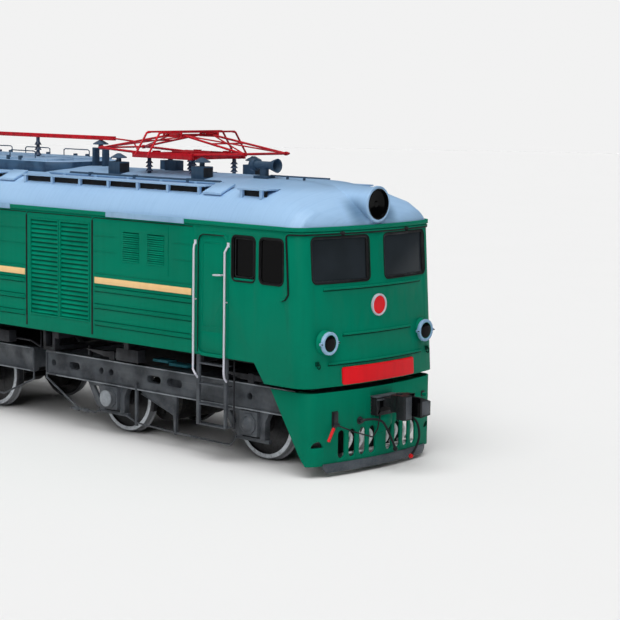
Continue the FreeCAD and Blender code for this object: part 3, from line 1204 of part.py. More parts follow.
def axle_boxes(cx):
    """Four boxes on the journals, each with its eight-sided plate and domed cover."""
    rows = []
    dome = (S.cover_radius ** 2 + S.cover_rise ** 2) / (2 * S.cover_rise)
    half, corner = S.cover_plate, S.cover_plate * 0.45
    for axle in (cx - S.axle_spacing / 2, cx + S.axle_spacing / 2):
        width = S.pedestal_in - 0.3
        shell = box(axle - width, axle + width, S.box_inner, S.box_outer, axle_height - S.box_height / 2,
                    axle_height + S.box_height / 2)
        eight = [(half, -corner), (half, corner), (corner, half), (-corner, half), (-half, corner), (-half, -corner),
                 (-corner, -half), (corner, -half)]
        plate = side_prism([(axle + u, axle_height + v) for u, v in eight], S.box_outer - 1,
                           S.box_outer + S.cover_thick)
        face = S.box_outer + S.cover_thick
        cover = Part.makeSphere(dome, V(axle, face + S.cover_rise - dome, axle_height)).common(
            box(axle - half, axle + half, face - 1, face + dome, axle_height - half, axle_height + half))
        bore = rod(V(axle, S.box_inner - 1, axle_height), V(axle, S.journal_reach + 2, axle_height),
                   S.journal_radius + S.journal_gap)
        rows.append(fuse([shell, plate, cover]).cut(bore))
    return both_sides(Part.makeCompound(rows))


def springs(cx):
    """Leaf spring above the side beam over each axle, with its buckle and hangers."""
    rows = []
    y0 = S.beam_face - S.beam_thick / 2 - S.leaf_width / 2
    y1 = y0 + S.leaf_width
    for axle in (cx - S.axle_spacing / 2, cx + S.axle_spacing / 2):
        z = S.beam_high + 45
        leaves = []
        for i in range(7):
            half = S.spring_length / 2 * (0.36 + 0.64 * i / 6)
            leaves.append(box(axle - half, axle + half, y0, y1, z + i * S.leaf_thick, z + (i + 1) * S.leaf_thick))
        high = z + 7 * S.leaf_thick
        leaves.append(box(axle - 60, axle + 60, y0 - 12, y1 + 12, S.beam_high, high + 20))
        for k in (-1, 1):
            x = axle + k * (S.spring_length / 2 - 40)
            leaves.append(box(x - 18, x + 18, y0 + 20, y1 - 20, S.beam_high, high + 45))
        rows.append(fuse(leaves))
    return both_sides(Part.makeCompound(rows))


def motors(cx):
    """Two nose-hung traction motors with gear cases round the axles."""
    rows = []
    for k in (-1, 1):
        axle = cx + k * S.axle_spacing / 2
        x = axle - k * S.motor_offset
        half = S.motor_length / 2
        z = axle_height + 20
        pieces = [rod(V(x, -half, z), V(x, half, z), S.motor_radius)]
        pieces.append(box(min(x, x + k * 260), max(x, x + k * 260), -half + 60, half - 60, z - 250, z + 120))
        nose = sorted((cx + k * S.bolster_half, x - k * 200))
        pieces.append(box(nose[0], nose[1], -200, 200, S.beam_low + 50, S.beam_low + 190))
        for y in (-half - 60, half - 20):
            case = Part.makeCylinder(S.gearcase_radius, 80, V(axle, y, axle_height), V(0, 1, 0))
            throat = sorted((axle, x))
            pieces += [case, box(throat[0], throat[1], y, y + 80, axle_height - 260, axle_height + 300)]
        motor = fuse(pieces)
        rows.append(motor.cut(rod(V(axle, -900, axle_height), V(axle, 900, axle_height), S.axle_radius + S.axle_gap)))
    return rows


def brakes(cx):
    """Brake shoes at every wheel on their hangers."""
    rows = []
    y0 = S.back_to_back / 2 + S.flange_width + 8
    for axle in (cx - S.axle_spacing / 2, cx + S.axle_spacing / 2):
        for k in (-1, 1):
            ring = Part.makeCylinder(S.wheel_radius + 62, 90, V(axle, y0, axle_height), V(0, 1, 0))
            ring = ring.cut(Part.makeCylinder(S.wheel_radius + 8, 92, V(axle, y0 - 1, axle_height), V(0, 1, 0)))
            x = sorted((axle + k * 400, axle + k * (S.wheel_radius + 100)))
            shoe = ring.common(box(x[0], x[1], y0, y0 + 140, axle_height - 200, axle_height + 160))
            hang = axle + k * (S.wheel_radius + 45)
            hanger = box(hang - 20, hang + 20, y0 + 25, y0 + 65, axle_height - 60, S.beam_low + 130)
            bracket = rod(V(hang, y0 + 45, S.beam_low + 100), V(hang, S.beam_face - S.beam_thick, S.beam_low + 100),
                          25)
            rows.append(fuse([shoe, hanger, bracket]))
    return both_sides(Part.makeCompound(rows))


def apron():
    """Bowed sheet under the cab, slanted at its ends, with oblong slots, the coupler's opening and its two brackets."""
    front = cab_face + S.apron_ahead
    back = cab_face - S.apron_top_back - 40
    solids = []
    for inset in (0, S.apron_sheet):
        wire = nose_wire(front, S.apron_half_width, back - inset, S.apron_low, inset)
        solids.append(Part.Face(wire).extrude(V(0, 0, S.apron_high - S.apron_low)))
    skin = solids[0].cut(solids[1])
    slant = side_prism([(back - 100, S.apron_low - 1), (cab_face - S.apron_low_back, S.apron_low - 1),
                        (cab_face - S.apron_low_back, S.apron_low), (cab_face - S.apron_top_back, S.apron_high + 1),
                        (back - 100, S.apron_high + 1)], -S.half_width, S.half_width)
    side, clear = S.striker_half + S.plate_gap, S.plate_gap
    passage = box(front - 300, front + 200, -side, side, S.coupler_height - S.striker_below - clear,
                  S.coupler_height + S.striker_above + clear)
    dome = (S.hump_radius ** 2 + S.hump_depth ** 2) / (2 * S.hump_depth)
    hump = Part.makeSphere(dome, V(front + S.hump_depth - dome, 40, S.coupler_height - S.hump_below)).common(
        box(front - 20, front + dome, -dome, dome, S.apron_low, S.apron_high))
    skin = skin.cut([slant])
    holes = [passage]
    half = S.slot_width / 2
    for k in (-1, 1):
        for i in range(4):
            y = k * (S.slot_offset + i * S.slot_pitch)
            holes.append(rounded_hole("X", y - half, y + half, S.slot_low, S.slot_low + S.slot_height, half - 1,
                                      front - 500, front + 200))
        eye = Part.makeCylinder(S.eye_hole_radius, 600, V(front - 500, k * S.eye_offset, S.eye_low), V(1, 0, 0))
        holes.append(eye.common(box(front - 600, front + 60, -S.half_width, S.half_width, S.eye_low, S.apron_high)))
    skin = skin.fuse(hump).cut(holes)
    brackets = []
    for k in (-1, 1):
        y = sorted((k * (S.beam_face - S.beam_thick), k * S.beam_face))
        brackets.append(box(cab_face - S.frame_front_back, front, y[0], y[1], S.beam_low, S.beam_high).common(
            solids[0]))
    return fuse([skin] + brackets)


def apron_front(y, z=0.0):
    """X of the apron's outer face off the centreline."""
    return cab_face + S.apron_ahead - S.bow_radius + math.sqrt(S.bow_radius ** 2 - y ** 2)


def plough():
    """Dark strip along the apron's lower edge."""
    front = cab_face + S.apron_ahead + S.plough_thick
    outer = Part.Face(nose_wire(front, S.apron_half_width, front - 700, S.plough_low)).extrude(
        V(0, 0, S.plough_high - S.plough_low))
    inner = nose_wire(cab_face + S.apron_ahead + 0.3, S.apron_half_width, front - 800, S.plough_low - 1)
    strip = outer.cut(Part.Face(inner).extrude(V(0, 0, S.plough_high - S.plough_low + 2)))
    half, depth = S.plough_half, S.plough_high - S.plough_low
    slanted = [(-half, S.plough_high), (half, S.plough_high), (half, S.plough_low + depth / 2),
               (half - depth / 2, S.plough_low), (depth / 2 - half, S.plough_low), (-half, S.plough_low + depth / 2)]
    wire = Part.makePolygon([V(front - 250, y, z) for y, z in slanted + slanted[:1]])
    return strip.common(Part.Face(wire).extrude(V(300, 0, 0)))


def coupler():
    """Automatic coupler: shank in its striking box, and the head with its small tooth and large guard arm."""
    z, tip = S.coupler_height, cab_face + S.coupler_reach
    shank = box(cab_face - S.frame_front_back, tip - 420, -95, 95, z - 90, z + S.striker_above - 5)
    front = cab_face + S.apron_ahead
    striker = box(front - 300, front + S.striker_reach, -S.striker_half, S.striker_half, z - S.striker_below,
                  z + S.striker_above)
    body = plan_prism([(tip - 480, -110), (tip - 430, -185), (tip - 300, -190), (tip - 300, 235), (tip - 420, 200),
                       (tip - 480, 110)], z - 135, z + 118)
    small = plan_prism([(tip - 310, -190), (tip - 165, -195), (tip - 145, -170), (tip - 145, -25), (tip - 200, 5),
                        (tip - 310, 5)], z - 240, z + 128)
    face = [(20, z - 205), (20, z + 112), (240, z + 35), (240, z - 178)]
    wire = Part.makePolygon([V(tip - 320, y, height) for y, height in face + face[:1]])
    large = Part.Face(wire).extrude(V(320, 0, 0))
    return fuse([shank, striker, body, small, large])


def uncoupling_lever():
    """Rod across the apron from its bracket to the coupler, with its hanging handle."""
    y, z, r = -S.lever_offset, S.coupler_height - S.lever_below, S.lever_radius
    face = apron_front(y) + S.plate_gap
    bracket = box(face - 60, face + 34, y - 45, y + 45, z - 20, z + 190)
    bracket = bracket.fuse(rod(V(face + 34, y - 55, z), V(face + 34, y + 55, z), 24))
    x, striker_low = face + 52, S.coupler_height - S.striker_below - S.plate_gap
    bar = bent_rod([V(x, y, z), V(x + 36, -630, z - 140), V(x + 82, -250, z - 262), V(x + 112, -178, z - 145),
                    V(x + 112, -120, striker_low + r)], r)
    handle = bent_rod([V(x, y, z), V(x, y - 60, z - 12), V(x, y - 185, z - 220)], r * 1.6)
    sheet = Part.Face(nose_wire(cab_face + S.apron_ahead + S.plate_gap, S.apron_half_width, cab_face - 900, 0))
    return fuse([bracket, bar, handle]).cut(
        [sheet.extrude(V(0, 0, S.apron_high)), box(cab_face - 500, cab_face + 500, -S.striker_half, S.striker_half,
                                                   striker_low, S.coupler_height)])


# ---------------------------------------------------------------- brake hoses
# Each route's points from the apron's face: X ahead of the cab face, Y, height above the floor.
HOSE_ROUTES = {
    "left": ((70, -425, 805), (200, -210, 838), (205, -20, 600), (150, 200, 325)),
    "right": ((62, 640, 740), (240, 590, 725), (350, 550, 560), (358, 525, 370), (310, 450, 215)),
}


def hose_points(name):
    return [V(cab_face + x, y, z) for x, y, z in HOSE_ROUTES[name]]


def hose(points, radius):
    """A tube of straight runs and tangent arcs through a route; also its tightest bend and its length."""
    edges, at, tightest, length = [], points[0], 1e9, 0.0
    for before, corner, after in zip(points, points[1:], points[2:]):
        come, leave = (corner - before), (after - corner)
        shorter = min(come.Length, leave.Length)
        come, leave = V(come).normalize(), V(leave).normalize()
        turn = math.acos(max(-1, min(1, come.dot(leave))))
        trim = 0.45 * shorter
        bend = trim / math.tan(turn / 2)
        start, end = corner - come * trim, corner + leave * trim
        middle = (come * -1 + leave).normalize()
        centre = corner + middle * math.hypot(bend, trim)
        inside = centre - middle * bend
        edges += [Part.LineSegment(at, start).toShape(), Part.Arc(start, inside, end).toShape()]
        length += (start - at).Length + bend * turn
        at, tightest = end, min(tightest, bend)
    edges.append(Part.LineSegment(at, points[-1]).toShape())
    length += (points[-1] - at).Length
    path = Part.Wire(edges)
    ring = Part.Wire([Part.makeCircle(radius, points[0], points[1] - points[0])])
    return path.makePipeShell([ring], True, False), tightest, length


def brake_hoses():
    """Two rubber hoses that hang in front of the apron, with their cocks on it and the coupling heads on their ends."""
    fittings = []
    sheet = Part.Face(nose_wire(cab_face + S.apron_ahead + S.plate_gap, S.apron_half_width, cab_face - 900, 0))
    skin = sheet.extrude(V(0, 0, S.apron_high))
    for name in HOSE_ROUTES:
        points = hose_points(name)
        tube, tightest, length = hose(points, S.hose_radius)
        print(f"hose {name}: length {length:.0f}, tightest bend {tightest:.0f} = "
              f"{tightest / S.hose_radius / 2:.1f} diameters")
        node(f"hose_{name}", tube)
        way = V(points[1] - points[0]).normalize()
        root = points[0] - way * S.plate_gap
        wall = V(apron_front(root.y - 60) - 20, root.y - (60 if name == "left" else 0), root.z)
        cock = [rod(wall, V(root.x - 50, wall.y, root.z), 30), Part.makeSphere(36, V(root.x - 50, wall.y, root.z)),
                rod(root - way * 58, root, 24)]
        fittings.append(fuse(cock).cut(skin))
        end = V(points[-1] - points[-2]).normalize()
        tip = points[-1] + end * S.plate_gap
        head = [rod(tip, tip + end * 75, 24), rod(tip + end * 55 + V(0, -34, 0), tip + end * 55 + V(0, 34, 0), 36)]
        fittings.append(fuse(head))
    node("hose_fittings", Part.makeCompound(fittings))


def underfloor_gear():
    """Boxes, a hoop and pipes hung from the floor and its cross bearers, clear of the swinging bogies."""
    rows = []
    y0, y1, top = S.half_width - 240, S.half_width - S.wall - 20, S.body_low - S.bearer_depth
    step = (S.body_length - S.cab_length) / 6
    bearers = [rear_x + S.wall + i * step + S.bearer_width / 2 for i in range(7)]
    for x, length in ((bearers[1], 700), (bearers[3], 900), (bearers[5], 520)):
        rows.append(box(x - length / 2, x + length / 2, y0, y1, top - 200, top))
    x, low = cab_face - S.middle_joint_back + 428, top - 220
    rows.append(fuse([box(x, x + 60, y0 + 40, y1, low, S.body_low), box(x + 235, x + 295, y0 + 40, y1, low, S.body_low),
                      box(x, x + 295, y0 + 40, y1, low, low + 60)]))
    y, z, end = S.beam_face + 90, S.beam_high + 140, x - 300
    rows.append(bent_rod([V(bearers[3], y, top), V(bearers[3], y, z), V(end - 270, y, z), V(end, y, z - 88)],
                         S.rod_radius).fuse(rod(V(end - 6, y, z - 86), V(end - 6, y, S.body_low), 10)))
    pipe_x, pipe_y = cab_face - S.door_back + S.door_width + 85, S.half_width - 110
    rows.append(bent_rod([V(pipe_x, pipe_y, S.body_low), V(pipe_x, pipe_y, 640), V(pipe_x, pipe_y, 573)], 14).fuse(
        rod(V(pipe_x, pipe_y, 560), V(pipe_x, pipe_y, 640), 26)))
    return both_sides(Part.makeCompound(rows))


# ---------------------------------------------------------------- assembly
def build():
    node("cab_shell", cab_shell())
    node("side_walls", side_walls())
    node("rear_wall", rear_wall())
    node("louvres", louvres())
    node("rain_gutter", rain_gutter())
    node("roof_main", roof_main())
    node("roof_cab", roof_cab())
    floor_and_sills()
    node("cab_bulkhead", bulkhead())
    node("gangway_bellows", bellows())
    node("cab_windows", cab_windows())
    left = cab_door()[0]
    node("cab_door_left", left)
    node("cab_door_right", left.mirror(V(0, 0, 0), V(0, 1, 0)))
    node("gangway_door", gangway_door()[0])
    cab_fittings()
    lamps()
    node("front_plates", front_plates())
    node("handrails", handrails())
    node("door_steps", door_steps())
    node("roof_walkways", roof_walkways())
    node("roof_hatches", roof_hatches())
    node("roof_vents", roof_vents())
    node("roof_horn", roof_horn())
    node("busbar", busbar())
    node("insulators", insulators())
    pantograph()
    node("bogie_frame_front", bogie_front())
    node("bogie_frame_rear", bogie_rear())
    for end, cx in (("front", front_bogie_x), ("rear", rear_bogie_x)):
        node(f"axle_boxes_{end}", axle_boxes(cx))
        node(f"springs_{end}", springs(cx))
        node(f"motors_{end}", Part.makeCompound(motors(cx)))
        node(f"brakes_{end}", brakes(cx))
    number = 1
    for cx in (front_bogie_x, rear_bogie_x):
        for offset in (S.axle_spacing / 2, -S.axle_spacing / 2):
            node(f"wheelset_{number}", wheelset(f"wheelset_{number}", cx + offset))
            number += 1
    node("apron", apron())
    node("plough_strip", plough())
    node("coupler", coupler())
    node("uncoupling_lever", uncoupling_lever())
    node("underfloor_gear", underfloor_gear())
    brake_hoses()


build()
doc.recompute()
faults = [f"{o.Label}: {o.State}" for o in doc.Objects if {"Invalid", "Error"} & set(o.State)]
faults += [label for label, item in nodes.items() if item.Shape.isNull() or not item.Shape.isValid()]
if faults:
    raise SystemExit("failed: " + "; ".join(faults))
os.makedirs("parts", exist_ok=True)
for label, item in nodes.items():
    item.Shape.exportStep(f"parts/{label}.step")
print(len(nodes), "nodes")
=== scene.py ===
"""The cab section of a twin-section electric locomotive, dressed for show around its solid parts.

Metres, +X forward, +Y to the left, +Z up. Places come from the solid parts' boxes and the sizes named below.
"""
import json
import math

import bpy
from mathutils import Matrix, Vector

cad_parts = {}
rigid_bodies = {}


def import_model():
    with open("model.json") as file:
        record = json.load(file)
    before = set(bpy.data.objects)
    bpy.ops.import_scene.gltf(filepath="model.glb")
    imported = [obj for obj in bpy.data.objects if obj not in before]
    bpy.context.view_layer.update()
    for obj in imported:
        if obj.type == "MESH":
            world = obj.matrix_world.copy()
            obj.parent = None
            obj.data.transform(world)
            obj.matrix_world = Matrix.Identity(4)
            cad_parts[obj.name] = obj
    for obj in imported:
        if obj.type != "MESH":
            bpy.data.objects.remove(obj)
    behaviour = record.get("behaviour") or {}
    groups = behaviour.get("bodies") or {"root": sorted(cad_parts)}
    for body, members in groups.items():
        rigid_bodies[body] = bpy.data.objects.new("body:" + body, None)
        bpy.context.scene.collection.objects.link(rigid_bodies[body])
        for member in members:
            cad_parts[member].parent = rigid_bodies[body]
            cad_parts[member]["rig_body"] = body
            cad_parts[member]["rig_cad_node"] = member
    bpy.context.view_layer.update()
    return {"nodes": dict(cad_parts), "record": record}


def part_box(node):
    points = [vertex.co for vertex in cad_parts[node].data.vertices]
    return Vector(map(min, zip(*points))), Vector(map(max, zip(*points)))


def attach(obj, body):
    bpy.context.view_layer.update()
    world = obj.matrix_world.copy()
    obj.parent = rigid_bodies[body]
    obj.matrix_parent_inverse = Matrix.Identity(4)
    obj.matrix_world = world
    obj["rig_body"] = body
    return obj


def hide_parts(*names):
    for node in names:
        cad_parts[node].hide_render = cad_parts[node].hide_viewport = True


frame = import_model()
NODES = frame["nodes"]
BODY_OF = {node: body for body, nodes in frame["record"]["behaviour"]["bodies"].items() for node in nodes}
SLOT_OF = {part["node"]: part["material_slot"] for part in frame["record"]["subparts"]}
bpy.ops.object.select_all(action="DESELECT")

shell_low, shell_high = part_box("cab_shell")
CAB_FACE = shell_high.x - 0.018
HALF_WIDTH = shell_high.y
OUT = -HALF_WIDTH  # Y of the right side wall's skin
BODY_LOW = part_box("side_walls")[0].z
ROOF_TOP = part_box("roof_main")[1].z
BOW = 6.04  # radius of the cab front's bow across the body
LEAN = 0.155 / (shell_high.z - shell_low.z)  # how far the cab front leans back per metre of height
CROWN = 3.22  # radius of the main roof
APRON_AHEAD = 0.033
AHEAD = (1, 0, 0)


def back(distance):
    """X of a place that far behind the cab face."""
    return CAB_FACE - distance


def nose_x(y, z, proud=0.0):
    """X of the cab front's skin at a place across it."""
    return shell_high.x - LEAN * (z - shell_low.z) - BOW + math.sqrt(BOW ** 2 - y ** 2) + proud


def apron_x(y, proud=0.0):
    """X of the apron's face at a place across it."""
    return CAB_FACE + APRON_AHEAD - BOW + math.sqrt(BOW ** 2 - y ** 2) + proud


def roof_z(y):
    """Height of the main roof above a place across it."""
    return ROOF_TOP - CROWN + math.sqrt(CROWN ** 2 - y ** 2)


def nose_plan(z, proud, corner=0.26, steps=8):
    """Points across the cab front from one side wall to the other, at a height."""
    front = nose_x(0, z)
    side = HALF_WIDTH - corner
    middle = front - BOW + math.sqrt((BOW - corner) ** 2 - side ** 2)
    turn = math.asin(side / (BOW - corner))
    points = []
    for i in range(steps + 1):
        a = math.pi / 2 - (math.pi / 2 - turn) * i / steps
        points.append((middle + (corner + proud) * math.cos(a), -side - (corner + proud) * math.sin(a), z))
    edge = points[-1][1]
    points += [(front - BOW + math.sqrt((BOW + proud) ** 2 - (edge * (1 - i / 6)) ** 2),
                edge * (1 - i / 6), z) for i in range(1, 6)]
    return points + [(front + proud, 0, z)] + [(x, -y, h) for x, y, h in reversed(points)]


# ---- finishes
class Wire:
    """A shader socket that takes Python arithmetic."""

    def __init__(self, finish, socket):
        self.finish, self.socket = finish, socket

    def math(self, operation, *values):
        return self.finish.add("Math", {"operation": operation}, *values)

    def __add__(self, other):
        return self.math("ADD", self, other)

    def __sub__(self, other):
        return self.math("SUBTRACT", self, other)

    def __rsub__(self, other):
        return self.math("SUBTRACT", other, self)

    def __mul__(self, other):
        return self.math("MULTIPLY", self, other)

    def __pow__(self, other):
        return self.math("POWER", self, other)

    def size(self):
        return self.math("ABSOLUTE", self)

    def rise(self, low, high):
        """0 below low, 1 above high, smooth between. With low above high it falls."""
        low, high, flip = (low, high, False) if low < high else (high, low, True)
        ramp = self.finish.add("MapRange", {"interpolation_type": "SMOOTHSTEP"}, self, low, high, 0.0, 1.0)
        return 1 - ramp if flip else ramp

    def within(self, low, high, edge):
        return self.rise(low - edge, low + edge) * self.rise(high + edge, high - edge)


def linear(red, green, blue):
    """A paint colour from its everyday 0 to 255 values."""
    return tuple(((v / 255 + 0.055) / 1.055) ** 2.4 if v > 10 else v / 255 / 12.92
                 for v in (red, green, blue)) + (1,)


class Finish:
    """A procedural material on Object coordinates."""

    def __init__(self, name, roughness=0.5, metallic=0.0, coat=0.0, shine=0.22):
        self.material = bpy.data.materials.new(name)
        self.material.use_nodes = True
        self.tree = self.material.node_tree
        self.shader = self.tree.nodes["Principled BSDF"]
        self.shader.inputs["Roughness"].default_value = roughness
        self.shader.inputs["Metallic"].default_value = metallic
        self.shader.inputs["Coat Weight"].default_value = coat
        self.shader.inputs["Specular IOR Level"].default_value = shine
        self.place = self.add("TexCoord", out="Object")
        split = self.add("SeparateXYZ", {}, self.place)
        self.x, self.y, self.z = [Wire(self, split.socket.node.outputs[i]) for i in range(3)]

    def add(self, kind, settings=None, *values, out=0, slots=range(9), **named):
        """Any node: its settings first, then its sockets by order, number or name."""
        node = self.tree.nodes.new("ShaderNode" + kind)
        for key, value in (settings or {}).items():
            setattr(node, key, value)
        for key, value in [*zip(slots, values), *named.items()]:
            if isinstance(value, Wire):
                self.tree.links.new(value.socket, node.inputs[key])
            else:
                node.inputs[key].default_value = value
        return Wire(self, node.outputs[out])

    def stretched(self, x=1.0, y=1.0, z=1.0):
        return self.add("Mapping", {}, self.place, Scale=(x, y, z))

    def noise(self, scale, detail=4.0, place=None, roughness=0.55):
        return self.add("TexNoise", {}, Vector=place or self.place, Scale=scale, Detail=detail,
                        Roughness=roughness)

    def mix(self, first, second, share):
        return self.add("Mix", {"data_type": "RGBA"}, share, first, second, out=2, slots=(0, 6, 7))

    def feed(self, name, wire):
        self.tree.links.new(wire.socket, self.shader.inputs[name])

    def bump(self, height, strength=0.2, distance=0.002):
        self.feed("Normal", self.add("Bump", {}, Height=height, Strength=strength, Distance=distance))


def worn_paint(name, colour, dark, dust=None, roughness=0.42, streaks=0.35, grime=0.4, low=None,
               coat=0.15, shine=0.22):
    """Brushed paint: faded patches, fine streaks down the sheet, grime that gathers low."""
    f = Finish(name, roughness, coat=coat, shine=shine)
    patches = f.noise(0.55, 5.0).rise(0.35, 0.72)
    down = f.noise(1.0, 6.0, f.stretched(9.0, 9.0, 0.55)).rise(0.42, 0.78)
    tint = f.mix(linear(*colour), linear(*dark), patches * 0.45 + down * streaks)
    if dust:
        speck = f.noise(14.0, 8.0, roughness=0.7).rise(0.45, 0.8)
        level = f.z.rise(low + 1.1, low) if low is not None else 1.0
        tint = f.mix(tint, linear(*dust), speck * level * grime)
    f.feed("Base Color", tint)
    f.feed("Roughness", f.noise(6.0, 5.0) * 0.25 + (roughness - 0.1))
    f.bump(f.noise(22.0, 3.0) + f.noise(2.2, 2.0) * 3.0, 0.10, 0.002)
    return f


body_green = worn_paint("body_green", (1, 123, 96), (0, 104, 80), (8, 88, 68), 0.4, 0.25, 0.2, BODY_LOW,
                        0.0, 0.05)
apron_green = worn_paint("apron_green", (1, 119, 92), (0, 102, 78), (8, 92, 72), 0.45, 0.2, 0.3, 0.15, 0.0,
                         0.05)
# Dark green of painted shade: the lines at the pressed beads and the hooks under the lamps.
groove_green = worn_paint("groove_green", (0, 62, 48), (0, 40, 32), None, 0.5, 0.3, coat=0.0, shine=0.05)
strip_cream = worn_paint("strip_cream", (250, 208, 148), (226, 180, 120), None, 0.5, 0.3)
plate_red = worn_paint("plate_red", (236, 8, 26), (196, 6, 22), None, 0.38, 0.2, coat=0.0)
gear_red = worn_paint("gear_red", (206, 20, 36), (120, 8, 20), (70, 14, 20), 0.45, 0.45, 0.5, 4.9)
rail_grey = worn_paint("rail_grey", (206, 206, 216), (160, 164, 178), (90, 92, 100), 0.42, 0.3, 0.3, 1.2)
white_paint = worn_paint("white_paint", (228, 230, 232), (160, 164, 168), (90, 88, 84), 0.6, 0.5, 0.7, 0.0)
teal_paint = worn_paint("teal_paint", (60, 150, 165), (30, 96, 110), (40, 60, 66), 0.5, 0.4, 0.5, 1.0)
lamp_blue = worn_paint("lamp_blue", (150, 186, 216), (104, 140, 176), None, 0.4, 0.3)
interior = worn_paint("interior", (168, 172, 150), (140, 144, 126), None, 0.55, 0.1)
handle_red = worn_paint("handle_red", (226, 24, 30), (150, 12, 18), None, 0.45, 0.3)


def roof_paint(name, colour, dark, dirt_and_shade, amount):
    """Satin roof paint with rain streaks and dirt down both slopes, painted shade along the crown and painted
    shade on the front's cheeks by the headlight.
    """
    f = Finish(name, 0.5, coat=0.1)
    runs = f.noise(1.0, 8.0, f.stretched(26.0, 0.6, 0.8), 0.7).rise(0.42, 0.8)
    fine = f.noise(1.0, 6.0, f.stretched(90.0, 1.1, 1.4), 0.65).rise(0.5, 0.85)
    clouds = f.noise(0.8, 5.0).rise(0.35, 0.75)
    tint = f.mix(linear(*colour), linear(*dark), runs * 0.4 + clouds * 0.3)
    dirt_and_shade, cheek_shade = linear(*dirt_and_shade), (0.04, 0.11, 0.20, 1)
    tint = f.mix(tint, dirt_and_shade, fine * amount + f.noise(9.0, 8.0, roughness=0.7).rise(0.58, 0.8) * amount)
    # Darker along the crown: painted shade, in the same colour as the dirt.
    tint = f.mix(tint, dirt_and_shade, f.z.rise(4.17, 4.29) * 0.45)
    # Painted shade on the front's cheeks beside the headlight, mottled a little.
    cheek = ((f.x - (CAB_FACE - 0.36)) ** 2.0 + (f.y.size() - 0.33) ** 2.0
             + ((f.z - 3.83) * 0.9) ** 2.0) ** 0.5
    tint = f.mix(tint, cheek_shade, cheek.rise(0.34, 0.10) * (fine * 0.2 + 0.78))
    f.feed("Base Color", tint)
    f.feed("Roughness", clouds * 0.2 + 0.4)
    f.bump(f.noise(18.0, 3.0) + f.noise(1.4, 2.0) * 2.0, 0.06, 0.002)
    return f


roof_blue = roof_paint("roof_blue", (158, 193, 227), (138, 174, 212), (104, 134, 164), 0.22)
gear_blue = roof_paint("gear_blue", (72, 101, 128), (40, 62, 84), (24, 36, 50), 0.55)


def dusty_steel(name, colour, dark, dust, shine=0.0, low=0.1, high=1.3, amount=0.75):
    """Running-gear paint under an oil film, road dust and scuffs."""
    f = Finish(name, 0.55, metallic=shine)
    film = f.noise(2.6, 7.0).rise(0.35, 0.7)
    tint = f.mix(linear(*colour), linear(*dark), film)
    speck = f.noise(26.0, 9.0, roughness=0.75).rise(0.42, 0.72)
    settle = f.z.rise(high, low) * 0.6 + 0.4
    tint = f.mix(tint, linear(*dust), speck * settle * amount)
    scuffs = f.noise(1.0, 8.0, f.stretched(3.0, 3.0, 26.0), 0.7).rise(0.6, 0.8)
    tint = f.mix(tint, linear(122, 124, 128), scuffs * 0.22)
    f.feed("Base Color", tint)
    f.feed("Roughness", film * 0.28 + 0.34)
    f.bump(speck + f.noise(5.0, 4.0) * 2.0, 0.25, 0.0025)
    return f


frame_grey = dusty_steel("frame_grey", (80, 85, 91), (50, 54, 60), (92, 90, 88), amount=0.5)
dark_steel = dusty_steel("dark_steel", (40, 42, 47), (17, 18, 21), (66, 62, 58), amount=0.4)
coupler_steel = dusty_steel("coupler_steel", (30, 33, 36), (14, 16, 18), (60, 60, 60), 0.0, 0.8, 1.3, 0.35)
strip_grey = dusty_steel("strip_grey", (76, 84, 92), (56, 63, 71), (108, 110, 110), 0, 0.0, 0.3, 0.6)
# Pale grey of the beam flanges, and of the axle covers where it is a painted highlight.
edge_grey = dusty_steel("edge_grey", (146, 152, 158), (104, 110, 116), (96, 94, 92), amount=0.4)
motor_black = dusty_steel("motor_black", (30, 31, 34), (14, 14, 16), (66, 60, 52), amount=0.6)


def rubber(name, colour, grain=40.0):
    """Matt rubber or cloth with a fine grain."""
    f = Finish(name, 0.62)
    f.feed("Base Color", f.mix(linear(*colour), linear(46, 46, 48), f.noise(5.0, 6.0).rise(0.45, 0.8) * 0.5))
    f.bump(f.noise(grain, 3.0), 0.2, 0.001)
    return f


# Black of the rubber seals, also used for pieces of painted shade.
seal_black = rubber("seal_black", (14, 15, 17))
hose_black = rubber("hose_black", (26, 27, 31), 90.0)
bellows_black = rubber("bellows_black", (24, 24, 26), 30.0)
seat_cloth = rubber("seat_cloth", (36, 34, 34), 120.0)


def dark_glass(name, colour, edge):
    """Tinted pane with faint clouds, painted almost black as shade where it stands in a side wall."""
    f = Finish(name, 0.08, shine=0.07)
    pane = f.mix(linear(*colour), linear(*edge), f.noise(0.9, 3.0).rise(0.35, 0.7))
    # Panes in the side walls are painted near black: painted shade.
    f.feed("Base Color", f.mix(pane, linear(5, 5, 6), f.y.size().rise(HALF_WIDTH - 0.06, HALF_WIDTH - 0.04)))
    f.feed("Roughness", f.noise(7.0, 5.0) * 0.08 + 0.05)
    return f


cab_glass = dark_glass("cab_glass", (42, 48, 53), (34, 39, 43))
# Black glass of the lenses, also used for pieces of painted shade on the coupler.
lens_black = dark_glass("lens_black", (9, 9, 11), (4, 4, 5))


def glazed(name):
    """Dark blue glaze of the insulators."""
    f = Finish(name, 0.18, coat=0.15)
    f.feed("Base Color", f.mix(linear(58, 76, 102), linear(30, 40, 58), f.noise(8.0, 6.0).rise(0.4, 0.7)))
    f.feed("Roughness", f.noise(12.0, 4.0) * 0.15 + 0.12)
    return f


porcelain = glazed("porcelain")


